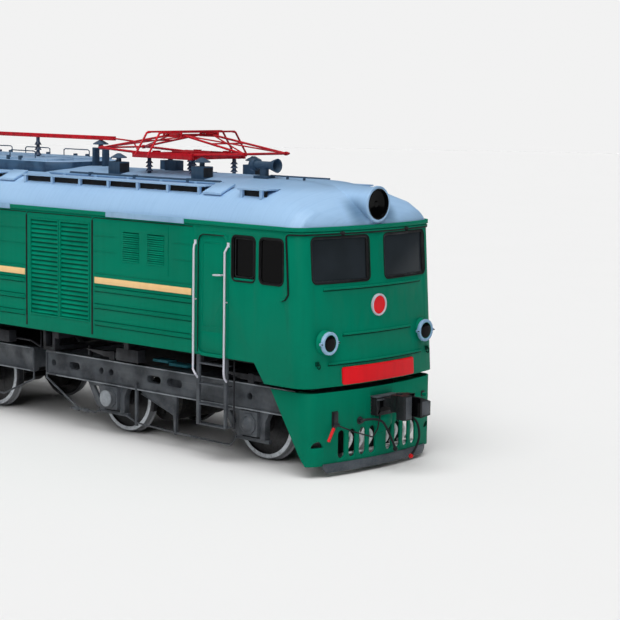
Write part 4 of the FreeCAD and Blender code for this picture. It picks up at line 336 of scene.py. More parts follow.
def wheel_finish(name, axle):
    """Turned steel with a bright tread and an oily web; the tyre's face is painted white."""
    f = Finish(name, 0.5, shine=0.3)
    out = ((f.x - axle.x) ** 2.0 + (f.z - axle.z) ** 2.0) ** 0.5
    rust = f.noise(16.0, 8.0, roughness=0.7)
    tint = f.mix(linear(38, 38, 41), linear(16, 15, 15), rust.rise(0.4, 0.7))
    side = f.y.size().rise(0.853, 0.858)
    face = out.within(0.522, 0.597, 0.003) * side
    worn = 0.95 - rust.rise(0.46, 0.74) * 0.45
    tint = f.mix(tint, linear(206, 212, 218), face * worn)
    tread = out.rise(0.584, 0.590) * (1 - side)
    tint = f.mix(tint, linear(120, 122, 126), tread)
    f.feed("Base Color", tint)
    f.feed("Roughness", face * 0.25 + rust * 0.2 + 0.25)
    f.bump(rust, 0.15, 0.002)
    return f


# ---- making pieces
mode = bpy.ops.object.mode_set
mesh = bpy.ops.mesh


def link(piece):
    """Puts a piece in the scene."""
    bpy.context.scene.collection.objects.link(piece)


def apply(**kinds):
    """Bakes a selected piece's place, or only the named parts of it, into its mesh."""
    bpy.ops.object.transform_apply(**(kinds or {"location": True, "rotation": True, "scale": True}))


def only(piece):
    """Selects a piece alone."""
    bpy.ops.object.select_all(action="DESELECT")
    piece.select_set(True)
    bpy.context.view_layer.objects.active = piece


def settle(piece, name, finish, body, slot, smooth=35, bevel=0.0, segments=2):
    """Applies a piece's place, rounds its edges, gives it its finish and hangs it on its body."""
    piece.name = piece.data.name = name
    only(piece)
    apply()
    if bevel:
        edges = piece.modifiers.new("edges", "BEVEL")
        edges.width, edges.segments, edges.limit_method = bevel, segments, "ANGLE"
        edges.angle_limit = math.radians(38)
        bpy.ops.object.modifier_apply(modifier=edges.name)
    bpy.ops.object.shade_smooth_by_angle(angle=math.radians(smooth))
    piece.data.materials.clear()
    piece.data.materials.append(finish.material)
    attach(piece, body)
    piece.select_set(False)
    return piece


def dressed(node, finish, bevel, smooth):
    """A clean copy of a solid part's mesh with rounded edges that stands for it."""
    piece = NODES[node].copy()
    piece.data = NODES[node].data.copy()
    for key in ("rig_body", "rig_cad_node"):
        if key in piece:
            del piece[key]
    link(piece)
    piece.parent = None
    piece.matrix_world = Matrix.Identity(4)
    only(piece)
    mode(mode="EDIT")
    mesh.select_all(action="SELECT")
    mesh.customdata_custom_splitnormals_clear()
    mesh.remove_doubles(threshold=0.00002)
    mesh.dissolve_limited(angle_limit=math.radians(0.5))
    mesh.select_all(action="DESELECT")
    mode(mode="OBJECT")
    settle(piece, node + "_dressed", finish, BODY_OF[node], SLOT_OF[node], smooth, bevel)
    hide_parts(node)


def block(name, finish, body, slot, low, high, bevel=0.004, segments=2, shape=None):
    """A rounded block between two corners; shape may work on it in edit mode first."""
    low, high = Vector(low), Vector(high)
    mesh.primitive_cube_add(size=1, location=(low + high) / 2, scale=high - low)
    piece = bpy.context.object
    apply()
    if shape:
        mode(mode="EDIT")
        shape(piece)
        mode(mode="OBJECT")
    return settle(piece, name, finish, body, slot, 35, bevel, segments)


def turned(name, finish, body, slot, centre, axis, steps, sides, smooth=40, ring=False):
    """A disc, or a circle for a ring, drawn out along its axis through (distance, radius) steps."""
    at, radius = steps[0]
    fill = "NOTHING" if ring else "NGON"
    mesh.primitive_circle_add(vertices=sides, radius=radius, fill_type=fill, location=(0, 0, at))
    piece = bpy.context.object
    apply(location=True)
    mode(mode="EDIT")
    mesh.select_mode(type="EDGE" if ring else "FACE")
    mesh.select_all(action="SELECT")
    for (a, r), (b, q) in zip(steps, steps[1:]):
        mesh.extrude_region_move(TRANSFORM_OT_translate={"value": (0, 0, b - a)})
        bpy.ops.transform.resize(value=(q / r, q / r, 1), center_override=(0, 0, b))
    if ring:
        mesh.select_all(action="DESELECT")
        mesh.select_non_manifold()
        mesh.bridge_edge_loops()
    mesh.select_all(action="SELECT")
    mesh.normals_make_consistent(inside=False)
    mode(mode="OBJECT")
    piece.rotation_euler = Vector(axis).to_track_quat("Z", "Y").to_euler()
    piece.location = centre
    return settle(piece, name, finish, body, slot, smooth)


def curve(name, points, radius, closed=False, order=2, sides=4, resolution=8):
    """A round curve along points; a higher order rounds its corners."""
    line = bpy.data.curves.new(name, "CURVE")
    line.dimensions = "3D"
    spline = line.splines.new("NURBS" if order > 2 else "POLY")
    spline.points.add(len(points) - 1)
    for spot, point in zip(spline.points, points):
        spot.co = (*point, 1)
    spline.use_cyclic_u = closed
    if order > 2:
        spline.order_u, spline.use_endpoint_u, spline.resolution_u = order, not closed, resolution
    line.bevel_depth, line.bevel_resolution, line.use_fill_caps = radius, sides, True
    piece = bpy.data.objects.new(name, line)
    link(piece)
    return piece


def tube(name, finish, body, slot, points, radius, closed=False, order=2):
    """A round bar along points, as a mesh."""
    only(curve(name, points, radius, closed, order))
    bpy.ops.object.convert(target="MESH")
    return settle(bpy.context.object, name, finish, body, slot, 50)


def copy_of(piece, name, move=(0, 0, 0), flip=False):
    """The same piece somewhere else, or on the other side of the centreline, with a mesh of its own."""
    twin = piece.copy()
    twin.data = piece.data.copy()
    link(twin)
    twin.name = twin.data.name = name
    twin.data.transform(Matrix.Diagonal((1, -1 if flip else 1, 1, 1)) @ Matrix.Translation(Vector(move)))
    if flip:
        only(twin)
        mode(mode="EDIT")
        mesh.select_all(action="SELECT")
        mesh.flip_normals()
        mode(mode="OBJECT")
        twin.select_set(False)
    return twin


def joined(pieces, name):
    """Several pieces of one finish and body as one."""
    bpy.ops.object.select_all(action="DESELECT")
    for piece in pieces:
        piece.select_set(True)
    bpy.context.view_layer.objects.active = pieces[0]
    bpy.ops.object.join()
    pieces[0].name = pieces[0].data.name = name
    pieces[0].select_set(False)
    return pieces[0]


def both(piece):
    """Adds the piece's twin on the other side."""
    joined([piece, copy_of(piece, piece.name + "_twin", flip=True)], piece.name)


def row(piece, name, moves):
    """Repeats a piece along a list of moves."""
    return joined([piece] + [copy_of(piece, f"{name}_{i}", move) for i, move in enumerate(moves)], name)


# ---- finish, body and slot of what repeats
SHELL = ("carbody", "body_green")
GEAR = ("bogie_front", "frame_grey")
# Black seals, and black pieces of painted shade.
SEAL_AND_SHADE = (seal_black, "carbody", "hose_black")
PRESSING = (body_green, *SHELL)
# Finish, body and slot of the pieces of painted shade in dark green.
PAINTED_SHADE = (groove_green, *SHELL)
DARK_TRIM = (dark_steel, "carbody", "frame_grey")
LAMP_TRIM = (lamp_blue, "carbody", "lamp_glass")
LENS = (lens_black, "carbody", "glass_dark")
RED_TRIM = (plate_red, "carbody", "plate_red")
ROOF_GEAR = (gear_blue, "carbody", "gear_blue")

# ---- hoses
# Each route's points: ahead of the cab face, to the left and up, in millimetres.
HOSES = {
    "left": ((70, -425, 805), (200, -210, 838), (205, -20, 600), (150, 200, 325)),
    "right": ((62, 640, 740), (240, 590, 725), (350, 550, 560), (358, 525, 370), (310, 450, 215)),
}
HOSE_WIDTH = 0.036


def hose(side):
    """A brake hose: a round rubber curve over its route, with its cock and its coupling head."""
    points = [Vector((CAB_FACE + x / 1000, y / 1000, z / 1000)) for x, y, z in HOSES[side]]
    piece = curve("hose_" + side + "_rubber", points, HOSE_WIDTH / 2, order=3, sides=5, resolution=24)
    piece.data.materials.append(hose_black.material)
    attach(piece, "bogie_front")
    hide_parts("hose_" + side)
    ends = hose_ends(side, points)


def hose_ends(side, points):
    """The nut and cock on the apron; returns the collar and coupling head on the far end."""
    red = side == "right"
    handle = handle_red if red else dark_steel
    way = (points[1] - points[0]).normalized()
    elbow = points[0] - way * 0.0003 - way * 0.058
    wall = Vector((apron_x(elbow.y, -0.004), elbow.y, elbow.z))
    turned(f"hose_{side}_nut", dark_steel, *GEAR, wall, AHEAD,
           ((0, 0.062), (0.010, 0.062), (0.014, 0.036), (0.030, 0.036), (0.034, 0.040), (0.052, 0.040),
            (0.064, 0.022)), 16, 30)
    turned(f"hose_{side}_cock", dark_steel, *GEAR, elbow - way * 0.012, way,
           ((0, 0.014), (0.006, 0.027), (0.030, 0.027), (0.034, 0.022), (0.050, 0.022), (0.053, 0.0235),
            (0.0692, 0.0235), (0.070, 0.021)), 24, 40)
    tube(f"hose_{side}_key", handle, "bogie_front", "plate_red" if red else "frame_grey",
         [elbow + Vector(step) for step in ((0.018, 0, 0.022), (0.024, 0, 0.045), (0.030, -0.05, 0.050),
                                            (0.030, -0.10, 0.044))], 0.007, order=3)
    end = (points[-1] - points[-2]).normalized()
    tip = points[-1] + end * 0.0003
    collar = turned(f"hose_{side}_collar", dark_steel, *GEAR, tip, end,
                    ((0, 0.0225), (0.004, 0.0235), (0.022, 0.0235), (0.026, 0.019), (0.046, 0.019),
                     (0.050, 0.015)), 24, 40)
    head = turned(f"hose_{side}_head", handle, *GEAR, tip + end * 0.055 + Vector((0, -0.030, 0)), (0, 1, 0),
                  ((0, 0.026), (0.006, 0.033), (0.022, 0.036), (0.040, 0.034), (0.052, 0.027), (0.058, 0.018),
                   (0.060, 0.008)), 32, 40)
    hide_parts("hose_fittings")
    return [collar, head]


# ---- camera, floor and light
CAMERA_PLACE = (23.987, -21.173, 5.802)
CAMERA_TURNS = (42.261, 6.982, 0.810)  # yaw to the left of +Y, pitch down and roll, in degrees
CAMERA_LENS, CAMERA_SENSOR = 106.57, 36


def camera():
    """The view the object is shown from."""
    lens = bpy.data.cameras.new("view")
    lens.lens, lens.sensor_width, lens.clip_end = CAMERA_LENS, CAMERA_SENSOR, 500
    view = bpy.data.objects.new("view", lens)
    link(view)
    yaw, pitch, roll = [math.radians(turn) for turn in CAMERA_TURNS]
    ahead = Vector((-math.sin(yaw) * math.cos(pitch), math.cos(yaw) * math.cos(pitch), -math.sin(pitch)))
    side = ahead.cross(Vector((0, 0, 1))).normalized()
    over = side.cross(ahead)
    right = side * math.cos(roll) + over * math.sin(roll)
    up = right.cross(ahead)
    turn = Matrix((right, up, -ahead)).transposed().to_4x4()
    view.matrix_world = Matrix.Translation(CAMERA_PLACE) @ turn
    bpy.context.scene.camera = view


def studio():
    """A pale floor that takes shadows, a backdrop only the camera sees, a soft sky and two soft suns."""
    mesh.primitive_circle_add(vertices=96, radius=140, fill_type="NGON", location=(0, 0, 0))
    floor = bpy.context.object
    floor.name = "floor_disc"
    f = Finish("studio_floor", 0.9, shine=0.0)
    f.feed("Base Color", f.mix((0.815, 0.815, 0.815, 1), (0.825, 0.825, 0.825, 1), f.noise(0.3, 2.0)))
    floor.data.materials.append(f.material)
    mesh.primitive_uv_sphere_add(segments=64, ring_count=32, radius=150, location=(0, 0, 0))
    backdrop = bpy.context.object
    backdrop.name = "backdrop"
    glow = bpy.data.materials.new("studio_backdrop")
    glow.use_nodes = True
    nodes = glow.node_tree.nodes
    light = nodes.new("ShaderNodeEmission")
    light.inputs["Color"].default_value = (0.887, 0.887, 0.887, 1)
    glow.node_tree.links.new(light.outputs[0], nodes["Material Output"].inputs["Surface"])
    backdrop.data.materials.append(glow)
    backdrop.visible_diffuse = backdrop.visible_glossy = backdrop.visible_shadow = False
    backdrop.visible_transmission = False
    world = bpy.data.worlds.new("studio")
    bpy.context.scene.world = world
    world.use_nodes = True
    tree = world.node_tree
    sky = tree.nodes["Background"]
    sky.inputs["Color"].default_value = (1, 1, 1, 1)
    facing, height, ceiling = [tree.nodes.new("ShaderNode" + kind)
                               for kind in ("TexCoord", "SeparateXYZ", "MapRange")]
    ceiling.interpolation_type = "SMOOTHSTEP"
    for key, value in ((1, 0.05), (2, 0.85), (3, 0.0), (4, 0.44)):
        ceiling.inputs[key].default_value = value
    for source, goal in ((facing.outputs["Generated"], height.inputs[0]),
                         (height.outputs[2], ceiling.inputs[0]),
                         (ceiling.outputs[0], sky.inputs["Strength"])):
        tree.links.new(source, goal)
    for name, aim, power, softness in (("over", (-0.18, 0.32, -0.93), 2.25, 58),
                                       ("key", (-0.5, 0.75, -0.45), 0.55, 30)):
        light = bpy.data.lights.new(name, "SUN")
        light.energy, light.angle = power, math.radians(softness)
        lamp = bpy.data.objects.new(name, light)
        lamp.rotation_euler = Vector(aim).to_track_quat("-Z", "Y").to_euler()
        link(lamp)
    bpy.context.scene.view_settings.view_transform = "Standard"


def rounded_loop(u0, u1, v0, v1, radius, steps=5):
    """Points round a rectangle with round corners."""
    loop = []
    for u, v, start in ((u1 - radius, v1 - radius, 0), (u0 + radius, v1 - radius, 90),
                        (u0 + radius, v0 + radius, 180), (u1 - radius, v0 + radius, 270)):
        for i in range(steps + 1):
            a = math.radians(start + 90 * i / steps)
            loop.append((u + radius * math.cos(a), v + radius * math.sin(a)))
    return loop


# Turns that stand a sheet up along the right side wall and across the cab front.
TO_SIDE = Matrix(((1, 0, 0, 0), (0, 0, -1, 0), (0, 1, 0, 0), (0, 0, 0, 1)))
TO_FRONT = Matrix(((0, 0, 1, 0), (1, 0, 0, 0), (0, 1, 0, 0), (0, 0, 0, 1)))


def pressed(name, finish, body, slot, across, tall, corner, rim, depth, turn, centre, bevel=0.003, bow=False,
            steps=6, full=False):
    """A sheet with round corners drawn out to its depth: a frame whose rim is that wide, or a full plate."""
    mesh.primitive_plane_add(size=1, location=(0, 0, 0))
    piece = bpy.context.object
    piece.scale = (across, tall, 1)
    apply()
    mode(mode="EDIT")
    mesh.select_mode(type="FACE")
    mesh.select_all(action="SELECT")
    mesh.bevel(offset=corner, segments=steps, affect="VERTICES")
    mesh.select_all(action="SELECT")
    mesh.inset(thickness=rim, use_boundary=True)
    if not full:
        mesh.delete(type="FACE")
    mesh.select_all(action="SELECT")
    mesh.extrude_region_move(TRANSFORM_OT_translate={"value": (0, 0, depth)})
    if bow:
        for i in range(1, 10):
            mesh.select_all(action="SELECT")
            mesh.bisect(plane_co=(across * (i / 10 - 0.5), 0, 0), plane_no=(1, 0, 0))
    mesh.select_all(action="SELECT")
    mesh.normals_make_consistent(inside=False)
    mode(mode="OBJECT")
    piece.data.transform(Matrix.Translation(centre) @ turn)
    if bow:
        for spot in piece.data.vertices:
            spot.co.x += nose_x(spot.co.y, spot.co.z) - centre[0]
    return settle(piece, name, finish, body, slot, 35, bevel)


def denser(loop, step=0.12):
    """A closed loop with more points along its long runs."""
    points = []
    for (u0, v0), (u1, v1) in zip(loop, loop[1:] + loop[:1]):
        count = max(math.ceil(math.hypot(u1 - u0, v1 - v0) / step), 1)
        points += [(u0 + (u1 - u0) * i / count, v0 + (v1 - v0) * i / count) for i in range(count)]
    return points


def tapered(share):
    """Narrows both ends of a bar along X."""
    def shape(piece):
        mesh.select_mode(type="FACE")
        for sign in (-1, 1):
            mesh.select_all(action="DESELECT")
            mode(mode="OBJECT")
            for face in piece.data.polygons:
                face.select = face.normal.x * sign > 0.9
            mode(mode="EDIT")
            bpy.ops.transform.resize(value=(1, share, share))
    return shape


# ---- solid parts with their finishes
def hatch_paint():
    """Dark coaming with pale lids on it."""
    f = Finish("hatch_paint", 0.5, coat=0.1)
    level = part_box("roof_hatches")[1].z - 0.042
    lid = f.z.rise(level - 0.004, level)
    cloud = f.noise(3.0, 6.0).rise(0.35, 0.75)
    runs = f.noise(1.0, 6.0, f.stretched(3.0, 12.0, 3.0)).rise(0.45, 0.8)
    dark = f.mix(linear(66, 96, 124), linear(38, 60, 84), cloud)
    pale = f.mix(linear(146, 176, 206), linear(104, 136, 168), cloud * 0.6 + runs * 0.4)
    f.feed("Base Color", f.mix(dark, pale, lid))
    f.feed("Roughness", cloud * 0.2 + 0.4)
    f.bump(f.noise(20.0, 3.0), 0.15, 0.002)
    return f


def louvre_paint():
    """Green blades, painted shade in the gaps between them, and specks of dust."""
    f = Finish("louvre_paint", 0.45, shine=0.05)
    inner = HALF_WIDTH - 0.015
    # Painted shade: the louvres' deeper parts are mixed to dark green.
    deep = f.y.size().rise(inner + 0.008, inner - 0.004)
    rust = f.noise(30.0, 8.0, roughness=0.7).rise(0.6, 0.75)
    tint = f.mix(linear(1, 138, 108), linear(0, 118, 92), f.noise(2.0, 5.0).rise(0.35, 0.7))
    tint = f.mix(tint, linear(70, 92, 64), rust * 0.4)
    tint = f.mix(tint, linear(0, 46, 37), deep)
    f.feed("Base Color", tint)
    f.feed("Roughness", rust * 0.2 + 0.4)
    f.bump(rust, 0.2, 0.001)
    return f


louvre_green = louvre_paint()


# Finish, edge radius and smoothing angle of the solid parts.
DRESSED = (
    (body_green, 0.003, 30, "cab_shell rear_wall cab_door_left cab_door_right gangway_door"),
    (body_green, 0.004, 30, "side_walls rain_gutter"), (body_green, 0.002, 45, "buffer_lamps"),
    (louvre_green, 0.0, 30, "louvres"), (apron_green, 0.003, 35, "apron"),
    (roof_blue, 0.0, 40, "roof_main"), (roof_blue, 0.0, 60, "roof_cab"), (roof_blue, 0.0, 50, "headlight"),
    (roof_blue, 0.003, 35, "roof_walkways"), (hatch_paint(), 0.006, 35, "roof_hatches"),
    (gear_blue, 0.003, 35, "roof_vents"),
    (gear_blue, 0.002, 45, "roof_horn"), (strip_grey, 0.005, 35, "plough_strip"),
    (coupler_steel, 0.010, 40, "coupler"), (rail_grey, 0.0, 50, "handrails"),
    (dark_steel, 0.0, 50, "uncoupling_lever"), (dark_steel, 0.0, 35, "centre_sills cross_bearers floor"),
    (dark_steel, 0.004, 40, "underfloor_gear"), (dark_steel, 0.002, 35, "springs_front springs_rear"),
    (dark_steel, 0.003, 40, "brakes_front brakes_rear"), (motor_black, 0.006, 40, "motors_front motors_rear"),
    (frame_grey, 0.004, 35, "door_steps"), (frame_grey, 0.005, 38, "bogie_frame_front bogie_frame_rear"),
    (frame_grey, 0.006, 35, "axle_boxes_front axle_boxes_rear"),
    (bellows_black, 0.008, 35, "gangway_bellows"), (gear_red, 0.003, 40, "pantograph_base"),
    (gear_red, 0.003, 45, "pantograph_head"),
    (gear_red, 0.0, 50, "lower_arm_front lower_arm_rear upper_arm_front upper_arm_rear"),
    (gear_red, 0.004, 45, "busbar"), (porcelain, 0.003, 45, "insulators"),
    (lens_black, 0.002, 40, "lamp_lenses"), (interior, 0.004, 35, "cab_bulkhead"),
    (interior, 0.008, 35, "driver_desk"),
    (interior, 0.02, 35, "equipment_block"), (seat_cloth, 0.03, 35, "cab_seats"),
    (cab_glass, 0.0, 30, "cab_windows"))


def dress_solids():
    for finish, bevel, smooth, nodes in DRESSED:
        for node in nodes.split():
            dressed(node, finish, bevel, smooth)
    for k in range(1, 5):
        node = f"wheelset_{k}"
        low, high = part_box(node)
        dressed(node, wheel_finish(node + "_steel", (low + high) / 2), 0.002, 40)


# ---- cab front
SCREENS = ((-1.315, -0.168), (0.168, 1.315))
SCREEN_LOW, SCREEN_HIGH = 2.893, 3.584
PLATE_HEIGHT, DISC_HEIGHT, WIPER_HEIGHT, HEADLIGHT_HEIGHT = 1.504, 2.513, 3.630, 4.035
DRIP_HEIGHT, DRIP_ENDS = 3.622, (2.640, 2.665, 2.74, 2.95, 3.15, 3.35, 3.56, 3.60)
FRONT_BEADS = ((2.812, 1.130), (2.125, 0.790), (1.704, 1.090))  # height and half length
LAMP_ACROSS, LAMP_HEIGHT = 1.122, 2.021
HOOK_ACROSS, HOOK_HEIGHT = 1.28, 1.715
HOOK_SHAPE = ((0.01, 0.02), (0.06, 0.01), (0.066, -0.05), (0.03, -0.075), (0.008, -0.045))


def front_plates():
    """The blank plate low on the cab front, and the disc in its pale rim higher up."""
    plate = pressed("number_plate_blank", *RED_TRIM, 1.66, 0.262, 0.035, 0.022, 0.03, TO_FRONT,
                    (nose_x(0, PLATE_HEIGHT), 0, PLATE_HEIGHT), 0.006, bow=True, full=True)
    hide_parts("front_plates")
    place = (nose_x(0, DISC_HEIGHT) - 0.01, 0, DISC_HEIGHT)
    disc = turned("front_disc", *RED_TRIM, place, AHEAD,
                  ((0, 0.14), (0.022, 0.14), (0.030, 0.132), (0.032, 0.02)), 48)
    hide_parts("front_plates")
    turned("front_disc_rim", rail_grey, "carbody", "rail_grey", place, AHEAD,
           ((0, 0.168), (0.034, 0.168), (0.040, 0.162), (0.040, 0.146), (0.034, 0.140), (0.010, 0.139)), 48,
           ring=True)


def windscreens():
    """Seal, inner frame and a black tube of painted shade in the reveal of each front window, with the
    wiper's pivot and motor over it.
    """
    level = (SCREEN_LOW + SCREEN_HIGH) / 2
    for i, (y0, y1) in enumerate(SCREENS):
        middle, edge = (y0 + y1) / 2, y1 - 0.05
        loop = denser(rounded_loop(y0, y1, SCREEN_LOW, SCREEN_HIGH, 0.085))
        tube(f"screen_seal_{i}", *SEAL_AND_SHADE, [(nose_x(y, z, 0.001), y, z) for y, z in loop], 0.009, True)
        inner = pressed(f"screen_frame_{i}", *DARK_TRIM, y1 - y0 - 0.004, 0.687, 0.083, 0.034, 0.014,
                        TO_FRONT, (nose_x(middle, level), middle, level), 0.003, bow=True)
        inner.data.transform(Matrix.Translation((-0.024, 0, 0)))
        # A black tube down one side of the reveal is painted shade.
        tube(f"screen_reveal_{i}", *SEAL_AND_SHADE,
             [(nose_x(edge, z, -0.012), edge, z) for z in (SCREEN_LOW + 0.06, SCREEN_HIGH - 0.06)], 0.022)
        x = nose_x(middle, WIPER_HEIGHT, 0.012)
        turned(f"wiper_pivot_{i}", *SEAL_AND_SHADE, (x, middle, WIPER_HEIGHT), (1, 0, -0.2),
               ((0, 0.030), (0.028, 0.030), (0.040, 0.022), (0.052, 0.012)), 24)
        block(f"wiper_motor_{i}", *DARK_TRIM, (x - 0.02, middle - 0.05, WIPER_HEIGHT - 0.018),
              (x + 0.022, middle + 0.05, WIPER_HEIGHT + 0.020), 0.006)


def drip_rail():
    """The rail over the windscreens and down both corners, with a painted shadow below it, and feet that curl
    back.
    """
    over = nose_plan(DRIP_HEIGHT, 0.010)
    down = [nose_plan(z, 0.010)[0] for z in DRIP_ENDS]
    down[:2] = [(x - curl, y, z) for curl, (x, y, z) in zip((0.13, 0.06), down)]
    path = down + over[1:-1] + [(x, -y, z) for x, y, z in reversed(down)]
    # A black tube under and beside the green rail is its painted shadow.
    tube("drip_seal", *SEAL_AND_SHADE, path, 0.014)
    top = DRIP_ENDS[-1]
    tube("drip_rail", *PRESSING, [(x - 0.024 * (z < top), y * (1 + 0.006 * (z < top)), z + 0.020 * (z > top))
                                  for x, y, z in path], 0.013)


def front_beads():
    """Pressed beads across the cab front, each with a painted shadow line under it."""
    for i, (z, half) in enumerate(FRONT_BEADS):
        across = [half * (k / 6 - 1) for k in range(13)]
        tube(f"front_bead_{i}", *PRESSING, [(nose_x(y, z, 0.012), y, z) for y in across], 0.017)
        # The dark green line just under each bead is a painted shadow.
        z -= 0.024
        tube(f"front_groove_{i}", *PAINTED_SHADE, [(nose_x(y, z, 0.004), y, z) for y in across], 0.010)


def lamps_and_hooks():
    """Ring, glass, lugs and screws of both buffer lamps, and the hook below each."""
    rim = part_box("buffer_lamps")[1].x
    for i, sign in enumerate((-1, 1)):
        y, z = sign * LAMP_ACROSS, LAMP_HEIGHT
        turned(f"lamp_ring_{i}", *LAMP_TRIM, (rim - 0.045, y, z), AHEAD,
               ((0, 0.168), (0.012, 0.174), (0.044, 0.174), (0.055, 0.166), (0.058, 0.140), (0.050, 0.129),
                (0.0, 0.126)), 48, ring=True)
        turned(f"lamp_glass_{i}", *LENS, (rim - 0.012, y, z), AHEAD,
               ((0, 0.128), (0.010, 0.128), (0.017, 0.100), (0.020, 0.05), (0.021, 0.012)), 40)
        for k in (-1, 1):
            lug, screw = y + k * 0.184, y + k * 0.192
            block(f"lamp_lug_{i}_{k + 1}", *LAMP_TRIM, (rim - 0.040, lug - 0.020, z - 0.020),
                  (rim - 0.002, lug + 0.020, z + 0.020), 0.006)
            ends = [(rim + dx, screw, z) for dx in (-0.05, 0.022)]
            tube(f"lamp_screw_{i}_{k + 1}", *DARK_TRIM, ends, 0.008)
        y, z = sign * HOOK_ACROSS, HOOK_HEIGHT
        x = nose_x(y, z)
        # The green hook and its foot are painted in the dark shade green: painted shade.
        block(f"hook_foot_{i}", *PAINTED_SHADE, (x - 0.01, y - 0.035, z - 0.03), (x + 0.02, y + 0.035, z + 0.035),
              0.006)
        tube(f"hook_{i}", *PAINTED_SHADE, [(x + dx, y, z + dz) for dx, dz in HOOK_SHAPE], 0.010, order=3)


def headlight_details():
    """The headlight's dark bowl and its rim."""
    x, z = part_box("headlight")[1].x, HEADLIGHT_HEIGHT
    turned("headlight_bowl", *LENS, (x - 0.060, 0, z), AHEAD,
           ((0.0, 0.2215), (0.062, 0.2215), (0.066, 0.232), (0.069, 0.232), (0.069, 0.216), (0.030, 0.205),
            (0.012, 0.02)), 56)
    turned("headlight_rim", roof_blue, "carbody", "roof_blue", (x - 0.050, 0, z), AHEAD,
           ((0, 0.262), (0.010, 0.274), (0.044, 0.274), (0.054, 0.266), (0.056, 0.238), (0.048, 0.232),
            (0.01, 0.231)), 56, ring=True)


# ---- body sides, by distance behind the cab face
SEAMS = (4.8595, 6.5375, 8.2395, 9.9175)
BAYS = ((4.7935, 2.5325), (8.1735, 6.5765), (12.7875, 9.9565))
GRILLE_GAP = (4.324, 2.935)  # where the upper beads of the first bay stop for the fine slats
BEAD_HEIGHTS, UPPER_BEADS = (1.908, 2.186, 2.465), (3.338, 3.085)
SEAM_CORNER = ((0, 3.56), (0.006, 3.595), (0.03, 3.616), (0.07, 3.622))
LOUVRE_REARS, LOUVRE_LOW, LOUVRE_HIGH = (6.524, 9.904), 1.925, 3.505
LOUVRE_PANEL, LOUVRE_MARGIN, LOUVRE_POST = 1.678, 0.105, 0.07
SLAT_COLUMNS, SLAT_PITCH = (back(4.846) + 0.725, back(4.846) + 1.3025), 0.034
STRIPS = ((4.495, 2.684), (12.86, 6.940))
WINDOW_REARS, WINDOW_WIDTH, WINDOW_LOW, WINDOW_HIGH = (1.088, 1.666), 0.492, 2.856, 3.544
DOOR_REAR, DOOR_FRONT, DOOR_LOW, DOOR_HIGH = 2.385, 1.785, 1.692, 3.518


def side_bar(trim, rear, front, z, half, deep, proud, bevel, segments, narrow):
    """A pressed bar with narrowed ends along the side wall, about a height."""
    return block("bar", *trim, (back(rear), OUT - deep, z - half), (back(front), OUT + proud, z + half),
                 bevel, segments, tapered(narrow))


def side_details():
    """Waist stripes, pressed beads with painted shade lines along them, and the seals over the panels'
    joints.
    """
    for i, (rear, front) in enumerate(BAYS):
        both(block(f"waist_stripe_{i}", strip_cream, "carbody", None, (back(rear), OUT - 0.014, 2.557),
                   (back(front), OUT + 0.002, 2.660), 0.006))
        beads = [side_bar(PRESSING, rear, front, z + dz, 0.013, 0.024, -0.002, 0.009, 3, 0.4)
                 for z in BEAD_HEIGHTS for dz in (-0.022, 0.022)]
        beads.append(side_bar(PRESSING, rear, front, 2.727, 0.011, 0.014, 0.004, 0.008, 3, 0.4))
        runs = ((rear, GRILLE_GAP[0]), (GRILLE_GAP[1], front)) if i == 0 else ((rear, front),)
        beads += [side_bar(PRESSING, a, b, z, 0.011, 0.012, 0.004, 0.007, 3, 0.3)
                  for z in UPPER_BEADS for a, b in runs]
        # Thin dark green strips at the edges of the beads and between them are painted shade.
        shade_lines = [side_bar(PAINTED_SHADE, rear, front, z + dz, 0.006, 0.014, -0.002, 0.003, 2, 0.6)
                   for z in BEAD_HEIGHTS for dz in (-0.040, 0.0, 0.040)]
        both(joined(beads, f"pressed_beads_{i}"))
        both(joined(shade_lines, f"bead_grooves_{i}"))
    for i, seam in enumerate(SEAMS):
        x, end = back(seam), back((2.50, *SEAMS)[i]) - 0.02
        both(block(f"panel_seal_{i}", *SEAL_AND_SHADE, (x - 0.020, OUT - 0.005, BODY_LOW + 0.055),
                   (x + 0.020, OUT + 0.006, 3.58), 0.004))
        both(tube(f"panel_joint_{i}", *SEAL_AND_SHADE,
                  [(x + dx, OUT - 0.001, z) for dx, z in SEAM_CORNER] + [(end, OUT - 0.001, 3.622)], 0.006))
    both(block("panel_step", *PRESSING, (back(3.069), OUT - 0.006, 2.80), (back(3.059), OUT + 0.004, 3.59),
               0.002))


def louvre_details():
    """Two columns of fine slats, and a thin frame round every louvre field."""
    for i, x in enumerate(SLAT_COLUMNS):
        slat = block(f"fine_slats_{i}", louvre_green, *SHELL, (x, OUT - 0.008, 2.955),
                     (x + 0.385, OUT + 0.010, 2.974), 0.004)
        both(row(slat, f"fine_slats_{i}", [(0, 0, SLAT_PITCH * (k + 1)) for k in range(13)]))
    wide, tall = (LOUVRE_PANEL - 2 * LOUVRE_MARGIN - LOUVRE_POST) / 2, LOUVRE_HIGH - LOUVRE_LOW
    steps = (-LOUVRE_MARGIN, LOUVRE_MARGIN + wide - LOUVRE_PANEL)
    ends = [rear + step for rear in LOUVRE_REARS for step in steps]
    for i, end in enumerate(ends):
        both(pressed(f"louvre_frame_{i}", *PRESSING, wide + 0.05, tall + 0.05, 0.018, 0.025, 0.010, TO_SIDE,
                     (back(end) + wide / 2, OUT, LOUVRE_LOW + tall / 2), 0.003, steps=3))


def rain_strips():
    """Pale drip strips along the roof's edge above some bays."""
    out = OUT - 0.028
    for i, (rear, front) in enumerate(STRIPS):
        both(block(f"rain_strip_{i}", lamp_blue, "carbody", "roof_blue", (back(rear), out - 0.012, 3.655),
                   (back(front), out + 0.010, 3.742), 0.006))


